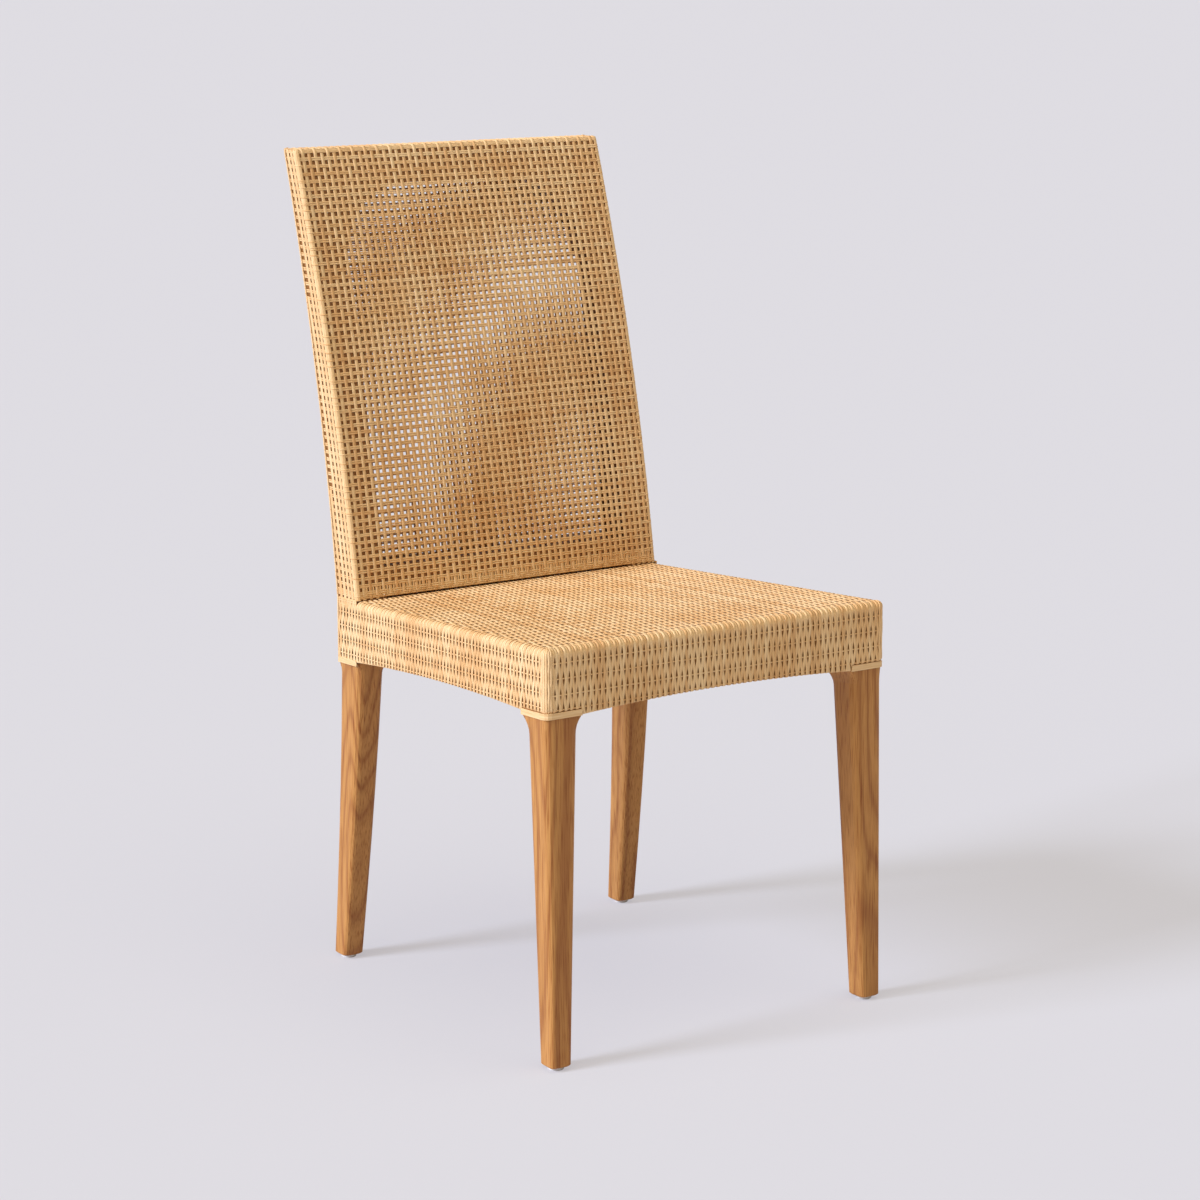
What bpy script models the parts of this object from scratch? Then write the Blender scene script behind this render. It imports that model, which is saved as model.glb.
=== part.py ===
"""Dining chair with a woven cane seat and back on tapered hardwood legs.

Metres, +Z up. The chair faces -Y. The origin lies on the floor, under the middle of its outer box.
The seat frame is worked out level and square, and is then tapered and sloped as one. The back is
worked out upright and flat, and then follows the sweep of the rear posts.
"""
import math

import bmesh
import bpy
from mathutils import Matrix, Vector

# Seat
SEAT_HEIGHT = 0.4735            # floor to the top of the front edge
SEAT_DROP = 0.0255              # how much lower the back edge is
SEAT_DEPTH = 0.479
SEAT_FRONT_WIDTH = 0.465
SEAT_TAPER = 0.036              # how much narrower the seat is at its back edge
APRON_HEIGHT = 0.078            # the caned side of the seat, with its trim
FRONT_ARCH_RISE = 0.0066        # how far the apron's lower edge rises between the legs
SIDE_ARCH_RISE = 0.0060
SIDE_ARCH_START = 0.0040        # the side aprons begin this much higher, beside the legs
SEAT_EDGE_RADIUS = 0.008
SEAT_CANE_REACH = 0.0095        # how far the cane of a rounded edge runs on to the next face

# Back
TOTAL_HEIGHT = 0.971
BACK_SWEEP = 0.109              # how far the top of the back lies behind the seat
SWEEP_START_SHARE = 0.530       # share of the sweep that is straight, the rest grows upwards
BACK_BASE_THICKNESS = 0.050
BACK_TOP_THICKNESS = 0.029
BACK_EDGE_RADIUS = 0.004
BACK_CANE_REACH = 0.0055
BACK_SLOT = 0.004               # gap between the seat and the lower edge of the back

# Cane skins and the clearance between neighbouring pieces
CANE_THICKNESS = 0.0015
CLEARANCE = 0.0003
LIP = 0.012                     # how far the apron cane turns in under its rail
TRIM_HEIGHT = 0.007
NET_STRAND = 0.009
NET_COLUMNS = 11
NET_ROWS = 14
GAP_EDGE_SHARE = 0.35           # of a cell, from its middle to the edge of its gap

# Front legs
LEG_BLOCK_WIDTH = 0.046
LEG_BLOCK_DEPTH = 0.050
LEG_SHOULDER = 0.0418
LEG_FOOT = 0.0266
FRONT_FOOT_LEAD = 0.005         # how far the foot stands in front of the seat
FRONT_FOOT_TUCK = 0.0015        # how far the foot stands in from the line of the seat's side

# Rear legs, each in one piece with its back post
POST_WIDTH = 0.0405
REAR_SHOULDER_WIDTH = 0.036
REAR_SHOULDER_DEPTH = 0.046
REAR_FOOT = 0.0265
REAR_FOOT_RAKE = 0.0207         # how far the foot reaches behind the seat
REAR_FOOT_SPLAY = 0.0015
RAKE_POWER_SHARE = 1.50         # above one, the leg leaves the seat upright and rakes lower down

# All legs
FRONT_COVE_HEIGHT = 0.021       # the leg swells over this height to meet the rails
REAR_COVE_HEIGHT = 0.013
LEG_ROUNDING = 0.009
FOOT_ROUNDING = 0.005
LEAST_ROUNDING = 0.0005
FOOT_EASE = 0.0015
TOP_EASE = 0.0028
GLIDE_HEIGHT = 0.004
GLIDE_RADIUS = 0.009
GLIDE_EASE = 0.001
NAIL_RADIUS = 0.0013
NAIL_LENGTH = 0.016

# Rails and joints
RAIL_THICKNESS = 0.022
TENON_LENGTH = 0.018
TENON_THICKNESS = 0.010
TENON_SHOULDER = 0.009          # above and below the tenon
TENON_ROOT = 0.004              # depth of a back rail's tenon inside the rail's own end
LOWER_RAIL_HEIGHT = 0.031
LOWER_TENON_SHOULDER = 0.006
TOP_RAIL_HEIGHT = 0.0425
CORNER_WIDTH_SHARE = 0.283      # of the opening's width, taken by each of its round upper corners
CORNER_HEIGHT_SHARE = 0.218     # of the opening's height
EAR_TIP = 0.004                 # width of the lowest tip of the top rail
TOP_TENON_SHARE = 0.65          # share of the top rail's height at its ends
BACK_TENON_SHARE = 0.32         # share of the back's thickness

# Corner blocks and their screws
BLOCK_REACH = 0.070
BLOCK_HEIGHT = 0.026
BLOCK_BELOW_TOP = 0.018
SCREW_INSET = 0.019             # from the end of the block
SCREW_RADIUS = 0.0019
SCREW_LENGTH = 0.022
SCREW_HEAD_RADIUS = 0.004
SCREW_HEAD_HEIGHT = 0.0025
SCREW_SINK = 0.004              # least depth of the head below the block's face

# Counts, and settings of the meshes
ARC_STEPS = 3
ARCH_STEPS = 8
SABRE_STEPS = 5
COVE_STEPS = 4
OPENING_ARC_STEPS = 8
ROUND_SIDES = 20
FINE_SIDES = 12
SHARP_ANGLE = math.radians(35)
WELD_DISTANCE = 0.00001


def lean(share):
    """Share of the back's sweep at a share of its height."""
    return SWEEP_START_SHARE * share + (1 - SWEEP_START_SHARE) * share * share


# Places that follow from the sizes above
cane_depth = CANE_THICKNESS + CLEARANCE
seam = CLEARANCE / 2
arch_rises = (FRONT_ARCH_RISE, SIDE_ARCH_RISE)      # along X and along Y
arch_starts = (0, SIDE_ARCH_START)
back_rise = TOTAL_HEIGHT - SEAT_HEIGHT + SEAT_DROP
total_depth = FRONT_FOOT_LEAD + SEAT_DEPTH + BACK_SWEEP * lean(1 - BACK_EDGE_RADIUS / back_rise)
seat_front_y = FRONT_FOOT_LEAD - total_depth / 2
seat_rear_y = seat_front_y + SEAT_DEPTH
front_half = SEAT_FRONT_WIDTH / 2
back_half = (SEAT_FRONT_WIDTH - SEAT_TAPER) / 2
seat_slope = SEAT_DROP / SEAT_DEPTH
seat_normal = Vector((0, seat_slope, 1)).normalized()
apron_bottom = SEAT_HEIGHT - APRON_HEIGHT
rail_bottom = apron_bottom + cane_depth
rail_top = SEAT_HEIGHT - cane_depth
trim_top = apron_bottom + TRIM_HEIGHT
seat_wall_top = SEAT_HEIGHT - SEAT_CANE_REACH
rear_taper = back_half / front_half
back_base = SEAT_HEIGHT - SEAT_DROP
foot_bottom = GLIDE_HEIGHT + CLEARANCE
post_inner_x = back_half - cane_depth - POST_WIDTH
post_front_y = seat_rear_y - BACK_BASE_THICKNESS + cane_depth
leg_inner_x = front_half - cane_depth - LEG_BLOCK_WIDTH
leg_back_y = seat_front_y + cane_depth + LEG_BLOCK_DEPTH
wood_edge_radius = SEAT_EDGE_RADIUS - cane_depth
post_edge_radius = BACK_EDGE_RADIUS - cane_depth
post_top = TOTAL_HEIGHT - cane_depth
seat_at_back = SEAT_HEIGHT - seat_slope * (SEAT_DEPTH - BACK_BASE_THICKNESS)
panel_bottom = seat_at_back + BACK_SLOT
panel_top = TOTAL_HEIGHT - BACK_CANE_REACH - seam
opening_bottom = panel_bottom + cane_depth + LOWER_RAIL_HEIGHT
opening_top = post_top - TOP_RAIL_HEIGHT
corner_width = CORNER_WIDTH_SHARE * 2 * post_inner_x
corner_height = CORNER_HEIGHT_SHARE * (opening_top - opening_bottom)
corner_x = post_inner_x - CLEARANCE - EAR_TIP - corner_width
corner_z = opening_top - corner_height
column_step = 2 * post_inner_x / NET_COLUMNS
row_step = (opening_top - opening_bottom) / NET_ROWS
column_lines = [column * column_step - post_inner_x for column in range(NET_COLUMNS + 1)]
row_lines = [opening_bottom + row * row_step for row in range(NET_ROWS + 1)]
back_levels = [back_base] + row_lines[::2] + [TOTAL_HEIGHT]


# The three shapes that everything follows: the seat's taper and slope, the arch, the back's sweep

def drop_at(y):
    return seat_slope * (y - seat_front_y)


def taper_at(y):
    share = (y - seat_front_y) / SEAT_DEPTH
    return 1 + (rear_taper - 1) * share


def slope_point(point):
    return Vector((point.x, point.y, point.z - drop_at(point.y)))


def seat_point(point):
    return Vector((point.x * taper_at(point.y), point.y, point.z - drop_at(point.y)))


def arch_at(axis, place, middle, half_span):
    share = (place - middle) / half_span
    return arch_starts[axis] + arch_rises[axis] * max(0, 1 - share * share)


def back_share(height):
    return max(0, (height - back_base) / back_rise)


def rear_curve(height):
    return seat_rear_y + BACK_SWEEP * lean(back_share(height))


def front_curve(height):
    taper = (BACK_TOP_THICKNESS - BACK_BASE_THICKNESS) * back_share(height)
    return rear_curve(height) - BACK_BASE_THICKNESS - taper


def along_levels(height, curve):
    """The curve in straight steps between the back's levels, which all its pieces share."""
    if height <= back_base:
        return curve(back_base)
    for low, high in zip(back_levels, back_levels[1:]):
        if height <= high or high == back_levels[-1]:
            share = (height - low) / (high - low)
            return curve(low) * (1 - share) + curve(high) * share


def sweep_wood(point):
    """From a blank one unit thick to the space between the cane skins."""
    front = along_levels(point.z, front_curve) + cane_depth
    rear = along_levels(point.z, rear_curve) - cane_depth
    return Vector((point.x, front + (rear - front) * point.y, point.z))


def sweep_skin(point):
    """The front half keeps its distance to the front face, the rear half to the rear face."""
    if point.y < BACK_TOP_THICKNESS / 2:
        y = along_levels(point.z, front_curve) + point.y
    else:
        y = along_levels(point.z, rear_curve) - BACK_TOP_THICKNESS + point.y
    return Vector((point.x, y, point.z))


# Scene, materials and small modelling tools

def clear_scene():
    for old in list(bpy.data.objects):
        bpy.data.objects.remove(old, do_unlink=True)


def make_collection(name):
    collection = bpy.data.collections.new(name)
    bpy.context.scene.collection.children.link(collection)
    return collection


def make_material(name, colour, roughness, metallic):
    material = bpy.data.materials.new(name)
    material.use_nodes = True
    shader = material.node_tree.nodes["Principled BSDF"]
    shader.inputs["Base Color"].default_value = (*colour, 1)
    shader.inputs["Roughness"].default_value = roughness
    shader.inputs["Metallic"].default_value = metallic
    material.diffuse_color = (*colour, 1)
    return material


def face_outwards(bm):
    bm.normal_update()
    bmesh.ops.recalc_face_normals(bm, faces=bm.faces)


def place_object(name, bm, material, kit):
    """Make a piece of the chair. Its origin is the middle of its own box, where it is then placed."""
    low = Vector([min(vert.co[axis] for vert in bm.verts) for axis in range(3)])
    high = Vector([max(vert.co[axis] for vert in bm.verts) for axis in range(3)])
    middle = (low + high) / 2
    bmesh.ops.translate(bm, vec=-middle, verts=bm.verts)
    mesh = bpy.data.meshes.new(name)
    bm.to_mesh(mesh)
    bm.free()
    mesh.shade_smooth()
    mesh.set_sharp_from_angle(angle=SHARP_ANGLE)
    mesh.materials.append(material)
    made = bpy.data.objects.new(name, mesh)
    made.location = middle
    made.parent = kit["chair"]
    kit["parts"].objects.link(made)
    return made


def place_cutter(name, bm, kit):
    face_outwards(bm)
    mesh = bpy.data.meshes.new(name)
    bm.to_mesh(mesh)
    bm.free()
    cutter = bpy.data.objects.new(name, mesh)
    cutter.hide_render = True
    cutter.display_type = 'WIRE'
    kit["cutters"].objects.link(cutter)
    return cutter


def combine(target, other, operation):
    modifier = target.modifiers.new(other.name, 'BOOLEAN')
    modifier.operation = operation
    modifier.object = other
    modifier.solver = 'EXACT'


def give_thickness(skin):
    shell = skin.modifiers.new("thickness", 'SOLIDIFY')
    shell.thickness = CANE_THICKNESS
    shell.offset = -1
    shell.use_even_offset = True


def box(low, high):
    bm = bmesh.new()
    bmesh.ops.create_cube(bm, size=1)
    middle = (Vector(low) + Vector(high)) / 2
    bmesh.ops.scale(bm, vec=Vector(high) - Vector(low), verts=bm.verts)
    bmesh.ops.translate(bm, vec=middle, verts=bm.verts)
    return bm


def slice_at(bm, axis, place):
    point = Vector((0, 0, 0))
    point[axis] = place
    normal = Vector((0, 0, 0))
    normal[axis] = 1
    everything = bm.verts[:] + bm.edges[:] + bm.faces[:]
    bmesh.ops.bisect_plane(bm, geom=everything, plane_co=point, plane_no=normal)


def keep_side(bm, point, normal):
    """Cut away what lies on the side that the normal points away from."""
    everything = bm.verts[:] + bm.edges[:] + bm.faces[:]
    bmesh.ops.bisect_plane(bm, geom=everything, plane_co=point, plane_no=normal, clear_inner=True)


def keep_between(bm, axis, low, high):
    for place, direction in ((low, 1), (high, -1)):
        if place is not None:
            point = Vector((0, 0, 0))
            point[axis] = place
            normal = Vector((0, 0, 0))
            normal[axis] = direction
            keep_side(bm, point, normal)


def keep_above_seat_line(bm, height):
    """Keep what lies above a line that slopes with the seat. Its height is that at the front edge."""
    keep_side(bm, Vector((0, seat_front_y, height)), seat_normal)


def remove_faces(bm, is_waste):
    waste = [face for face in bm.faces if is_waste(face.calc_center_median())]
    bmesh.ops.delete(bm, geom=waste, context='FACES')


def reshape(bm, change):
    for vert in bm.verts:
        vert.co = change(vert.co)


def slice_levels(bm):
    for level in back_levels[1:-1]:
        slice_at(bm, 2, level)


def mirror_left_to_right(bm, side):
    if side > 0:
        bmesh.ops.scale(bm, vec=(-1, 1, 1), verts=bm.verts)
        bmesh.ops.reverse_faces(bm, faces=bm.faces)


def rounded_ring(low, high, radii):
    """Points of a rectangle in plan, anticlockwise, with a radius for each corner.

    The radii start at the front left corner and go round by the front right one.
    """
    corners = (
        (low[0], low[1], 1, 1, 180),
        (high[0], low[1], -1, 1, 270),
        (high[0], high[1], -1, -1, 0),
        (low[0], high[1], 1, -1, 90),
    )
    points = []
    for (x, y, inward_x, inward_y, start), radius in zip(corners, radii):
        for step in range(ARC_STEPS + 1):
            angle = math.radians(start + 90 * step / ARC_STEPS)
            points.append((
                x + radius * (inward_x + math.cos(angle)),
                y + radius * (inward_y + math.sin(angle)),
            ))
    return points


def loft(rings, cap_bottom):
    """Join rings of points, each with as many points as the next, from the bottom up."""
    bm = bmesh.new()
    rows = [[bm.verts.new(point) for point in ring] for ring in rings]
    count = len(rows[0])
    for lower, upper in zip(rows, rows[1:]):
        for index in range(count):
            after = (index + 1) % count
            bm.faces.new((lower[index], lower[after], upper[after], upper[index]))
    bm.faces.new(rows[-1])
    if cap_bottom:
        bm.faces.new(reversed(rows[0]))
    return bm


def turned(profile, sides):
    """A turned solid on the Z axis. The profile runs from axis to axis as radius and height."""
    bm = bmesh.new()
    verts = [bm.verts.new((radius, 0, height)) for radius, height in profile]
    edges = [bm.edges.new(pair) for pair in zip(verts, verts[1:])]
    bmesh.ops.spin(
        bm, geom=verts + edges, cent=(0, 0, 0), axis=(0, 0, 1),
        angle=2 * math.pi, steps=sides, use_merge=True, use_duplicate=False,
    )
    bmesh.ops.remove_doubles(bm, verts=bm.verts, dist=WELD_DISTANCE)
    face_outwards(bm)
    return bm


def outline_solid(points, thickness):
    """A flat outline in the XY plane, made solid on both sides of it."""
    curve = bpy.data.curves.new("outline", 'CURVE')
    curve.dimensions = '2D'
    curve.fill_mode = 'BOTH'
    curve.extrude = thickness / 2
    spline = curve.splines.new('POLY')
    spline.points.add(len(points) - 1)
    for target, (x, y) in zip(spline.points, points):
        target.co = (x, y, 0, 1)
    spline.use_cyclic_u = True
    holder = bpy.data.objects.new("outline", curve)
    bpy.context.scene.collection.objects.link(holder)
    graph = bpy.context.evaluated_depsgraph_get()
    mesh = bpy.data.meshes.new_from_object(holder.evaluated_get(graph))
    bm = bmesh.new()
    bm.from_mesh(mesh)
    bmesh.ops.remove_doubles(bm, verts=bm.verts, dist=WELD_DISTANCE)
    face_outwards(bm)
    bpy.data.objects.remove(holder, do_unlink=True)
    bpy.data.meshes.remove(mesh)
    return bm


# Legs

def cove_rise(step):
    """Share of the cove's height, and the share of its swell there."""
    share = step / COVE_STEPS
    return share, share * share


def blend(first, second, share):
    return first * (1 - share) + second * share


def front_leg_rings():
    """The left front leg, from its foot to the top of the seat frame."""
    block = ((-front_half + cane_depth, seat_front_y + cane_depth), (-leg_inner_x, leg_back_y))
    foot_front = seat_front_y - FRONT_FOOT_LEAD
    shoulder_z = apron_bottom - FRONT_COVE_HEIGHT

    def ring(height, width, depth, front, tuck, outer_radius, inner_radius, inset):
        outer_x = block[0][0] + tuck
        low = (outer_x + inset, front + inset)
        high = (outer_x + width - inset, front + depth - inset)
        radii = (outer_radius, inner_radius, inner_radius, inner_radius)
        slope_share = min(1, (height - foot_bottom) / (apron_bottom - foot_bottom))
        points = []
        for x, y in rounded_ring(low, high, radii):
            points.append(Vector((x * taper_at(y), y, height - drop_at(y) * slope_share)))
        return points

    def leg_ring(height, swell_share, inset):
        up_share = (height - foot_bottom) / (shoulder_z - foot_bottom)
        leg = blend(LEG_FOOT, LEG_SHOULDER, min(1, up_share))
        front_share = (height - foot_bottom) / (apron_bottom - foot_bottom)
        front = blend(foot_front, block[0][1], front_share)
        tuck = blend(FRONT_FOOT_TUCK, 0, front_share)
        width = blend(leg, LEG_BLOCK_WIDTH, swell_share)
        depth = blend(leg, LEG_BLOCK_DEPTH, swell_share)
        rounding = blend(FOOT_ROUNDING, LEG_ROUNDING, min(1, up_share))
        outer = blend(rounding, wood_edge_radius, swell_share)
        inner = blend(rounding, LEAST_ROUNDING, swell_share)
        return ring(height, width, depth, front, tuck, outer, inner, inset)

    rings = [leg_ring(foot_bottom, 0, FOOT_EASE), leg_ring(foot_bottom + FOOT_EASE, 0, 0)]
    for step in range(COVE_STEPS + 1):
        height_share, swell_share = cove_rise(step)
        rings.append(leg_ring(shoulder_z + FRONT_COVE_HEIGHT * height_share, swell_share, 0))
    for step in range(ARC_STEPS + 1):
        angle = math.radians(90 * step / ARC_STEPS)
        inset = wood_edge_radius * (1 - math.cos(angle))
        height = rail_top - wood_edge_radius * (1 - math.sin(angle))
        corner = max(LEAST_ROUNDING, wood_edge_radius - inset)
        low = (block[0][0] + inset, block[0][1] + inset)
        radii = (corner, LEAST_ROUNDING, LEAST_ROUNDING, LEAST_ROUNDING)
        points = rounded_ring(low, block[1], radii)
        rings.append([seat_point(Vector((x, y, height))) for x, y in points])
    return rings


def rear_leg_rings():
    """The left rear leg and its post in one piece, from the foot to the top of the back."""
    outer_x = -back_half + cane_depth
    rear_y = seat_rear_y - cane_depth
    base_bottom = apron_bottom - SEAT_DROP
    shoulder_z = base_bottom - REAR_COVE_HEIGHT
    post_depth = BACK_BASE_THICKNESS - 2 * cane_depth

    def leg_ring(height, swell_share, inset):
        up_share = (height - foot_bottom) / (base_bottom - foot_bottom)
        size_share = min(1, (height - foot_bottom) / (shoulder_z - foot_bottom))
        width = blend(blend(REAR_FOOT, REAR_SHOULDER_WIDTH, size_share), POST_WIDTH, swell_share)
        depth = blend(blend(REAR_FOOT, REAR_SHOULDER_DEPTH, size_share), post_depth, swell_share)
        rear = rear_y + (REAR_FOOT_RAKE + cane_depth) * (1 - up_share) ** RAKE_POWER_SHARE
        outer = outer_x - REAR_FOOT_SPLAY * (1 - up_share)
        rounding = blend(FOOT_ROUNDING, LEG_ROUNDING, size_share)
        arris = blend(rounding, post_edge_radius, swell_share)
        inner = blend(rounding, LEAST_ROUNDING, swell_share)
        low = (outer + inset, rear - depth + inset)
        high = (outer + width - inset, rear - inset)
        points = rounded_ring(low, high, (arris, inner, inner, arris))
        return [Vector((x, y, height + seat_slope * (rear - y) * up_share)) for x, y in points]

    def post_ring(height, inset):
        front = along_levels(height, front_curve) + cane_depth
        rear = along_levels(height, rear_curve) - cane_depth
        low = (outer_x + inset, front + inset)
        high = (outer_x + POST_WIDTH, rear - inset)
        arris = max(LEAST_ROUNDING, post_edge_radius - inset)
        radii = (arris, LEAST_ROUNDING, LEAST_ROUNDING, arris)
        return [Vector((x, y, height)) for x, y in rounded_ring(low, high, radii)]

    rings = [leg_ring(foot_bottom, 0, FOOT_EASE)]
    for step in range(SABRE_STEPS):
        height = blend(foot_bottom + FOOT_EASE, shoulder_z, step / SABRE_STEPS)
        rings.append(leg_ring(height, 0, 0))
    for step in range(COVE_STEPS + 1):
        height_share, swell_share = cove_rise(step)
        rings.append(leg_ring(shoulder_z + REAR_COVE_HEIGHT * height_share, swell_share, 0))
    for level in back_levels[:-1]:
        rings.append(post_ring(level, 0))
    rings.append(post_ring(post_top - TOP_EASE, 0))
    rings.append(post_ring(post_top, TOP_EASE))
    return rings


def make_leg(name, rings, side, foot, kit):
    """A leg, with its foot bored for the nail of the glide."""
    bm = loft(rings, cap_bottom=True)
    mirror_left_to_right(bm, side)
    leg = place_object(name, bm, kit["teak"], kit)
    bore_top = foot_bottom + NAIL_LENGTH + CLEARANCE
    bore = turned(
        [(0, 0), (NAIL_RADIUS + CLEARANCE, 0), (NAIL_RADIUS + CLEARANCE, bore_top), (0, bore_top)],
        FINE_SIDES,
    )
    bmesh.ops.translate(bore, vec=(foot.x, foot.y, 0), verts=bore.verts)
    combine(leg, place_cutter(name + "_nail_bore", bore, kit), 'DIFFERENCE')
    return leg


def make_glide(name, foot, kit):
    """A nylon glide with its nail, which stands on the floor."""
    profile = [
        (0, 0),
        (GLIDE_RADIUS - GLIDE_EASE, 0),
        (GLIDE_RADIUS, GLIDE_EASE),
        (GLIDE_RADIUS, GLIDE_HEIGHT),
        (NAIL_RADIUS, GLIDE_HEIGHT),
        (NAIL_RADIUS, GLIDE_HEIGHT + NAIL_LENGTH - NAIL_RADIUS),
        (0, GLIDE_HEIGHT + NAIL_LENGTH),
    ]
    bm = turned(profile, ROUND_SIDES)
    bmesh.ops.translate(bm, vec=(foot.x, foot.y, 0), verts=bm.verts)
    place_object(name, bm, kit["nylon"], kit)


def ring_centre(ring):
    return sum(ring, Vector((0, 0, 0))) / len(ring)


def make_legs(kit):
    legs = {}
    for side, side_name in ((-1, "left"), (1, "right")):
        for end_name, rings in (("front", front_leg_rings()), ("rear", rear_leg_rings())):
            centre = ring_centre(rings[0])
            foot = Vector((centre.x * -side, centre.y, 0))
            name = f"{end_name}_{side_name}"
            legs[name] = make_leg(name + "_leg", rings, side, foot, kit)
            make_glide(name + "_foot_glide", foot, kit)
    return legs


# Seat frame

def rail_with_tenons(name, low, high, axis, legs, place, kit):
    """A straight rail with an arched lower edge, on a bar whose two ends are its tenons.

    The same bar, one clearance larger all round, cuts the mortises.
    """
    across = 1 - axis
    body = box(low, high)
    middle = (low[axis] + high[axis]) / 2
    half_span = (high[axis] - low[axis]) / 2
    for step in range(1, ARCH_STEPS):
        slice_at(body, axis, low[axis] + 2 * half_span * step / ARCH_STEPS)
    for vert in body.verts:
        if vert.co.z < (rail_bottom + rail_top) / 2:
            vert.co.z += arch_at(axis, vert.co[axis], middle, half_span)
    outer = max(low[across], high[across], key=lambda edge: abs(edge - kit["centre"][across]))

    def on_arris(vert):
        return vert.co.z > rail_top - CLEARANCE and abs(vert.co[across] - outer) < CLEARANCE

    arris = [edge for edge in body.edges if all(on_arris(vert) for vert in edge.verts)]
    bmesh.ops.bevel(
        body, geom=arris, offset=wood_edge_radius, segments=ARC_STEPS,
        profile=0.5, affect='EDGES', material=-1,
    )
    reshape(body, place)
    rail = place_object(name, body, kit["teak"], kit)

    tenon_middle = (low[across] + high[across]) / 2
    bar_low = Vector(low)
    bar_high = Vector(high)
    bar_low[across] = tenon_middle - TENON_THICKNESS / 2
    bar_high[across] = tenon_middle + TENON_THICKNESS / 2
    bar_low[axis] -= TENON_LENGTH - CLEARANCE
    bar_high[axis] += TENON_LENGTH - CLEARANCE
    bar_low.z += TENON_SHOULDER + arch_at(axis, middle, middle, half_span)
    bar_high.z -= TENON_SHOULDER
    bar = box(bar_low, bar_high)
    reshape(bar, place)
    combine(rail, place_cutter(name + "_tenon_bar", bar, kit), 'UNION')
    room = Vector((CLEARANCE, CLEARANCE, CLEARANCE))
    mortise = box(bar_low - room, bar_high + room)
    reshape(mortise, place)
    cutter = place_cutter(name + "_mortises", mortise, kit)
    for leg in legs:
        combine(leg, cutter, 'DIFFERENCE')
    return rail


def make_seat_rails(legs, kit):
    inner_front_y = seat_front_y + cane_depth + RAIL_THICKNESS
    rails = {}
    rails["front"] = rail_with_tenons(
        "front_seat_rail",
        (-leg_inner_x + CLEARANCE, seat_front_y + cane_depth, rail_bottom),
        (leg_inner_x - CLEARANCE, inner_front_y, rail_top),
        0, (legs["front_left"], legs["front_right"]), seat_point, kit,
    )
    rails["rear"] = rail_with_tenons(
        "rear_seat_rail",
        (-post_inner_x + CLEARANCE, seat_rear_y - cane_depth - RAIL_THICKNESS, rail_bottom),
        (post_inner_x - CLEARANCE, seat_rear_y - cane_depth, rail_top),
        0, (legs["rear_left"], legs["rear_right"]), slope_point, kit,
    )
    for side, name in ((-1, "left"), (1, "right")):
        outer = side * (front_half - cane_depth)
        inner = side * (front_half - cane_depth - RAIL_THICKNESS)
        rails[name] = rail_with_tenons(
            name + "_seat_rail",
            (min(outer, inner), leg_back_y + CLEARANCE, rail_bottom),
            (max(outer, inner), post_front_y - CLEARANCE, rail_top),
            1, (legs["front_" + name], legs["rear_" + name]), seat_point, kit,
        )
    return rails


def block_outline(leg_width, leg_depth):
    """Plan of a corner block, from the corner where the two rails' inner faces would meet."""
    return [
        (leg_width + CLEARANCE, CLEARANCE),
        (BLOCK_REACH, CLEARANCE),
        (CLEARANCE, BLOCK_REACH),
        (CLEARANCE, leg_depth + CLEARANCE),
        (leg_width + CLEARANCE, leg_depth + CLEARANCE),
    ]


def screw_solid(grow):
    """A screw along +Z from its tip, or the hole for it when it is grown by a clearance."""
    neck = SCREW_LENGTH - SCREW_HEAD_HEIGHT - grow
    shank = SCREW_RADIUS + grow
    head = SCREW_HEAD_RADIUS + grow
    top = SCREW_LENGTH + (BLOCK_REACH if grow else 0)
    profile = [(0, -grow), (shank, -grow), (shank, neck), (head, neck), (head, top), (0, top)]
    return turned(profile, FINE_SIDES)


def screw_block(block, rail, along, to_frame, kit):
    """Screw a block to one rail. The screw is laid out from the block's own corner."""
    tip = SCREW_INSET - SCREW_SINK - SCREW_LENGTH
    side = BLOCK_REACH - SCREW_INSET
    if along == 0:
        turn = Matrix.Translation((side, tip, 0)) @ Matrix.Rotation(math.radians(-90), 4, 'X')
    else:
        turn = Matrix.Translation((tip, side, 0)) @ Matrix.Rotation(math.radians(90), 4, 'Y')
    for grow in (0, CLEARANCE):
        screw = screw_solid(grow)
        bmesh.ops.transform(screw, matrix=turn, verts=screw.verts)
        reshape(screw, to_frame)
        if grow:
            hole = place_cutter(f"{block.name}_hole_{along}", screw, kit)
            combine(block, hole, 'DIFFERENCE')
            combine(rail, hole, 'DIFFERENCE')
        else:
            face_outwards(screw)
            place_object(f"{block.name}_screw_{along}", screw, kit["steel"], kit)


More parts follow.
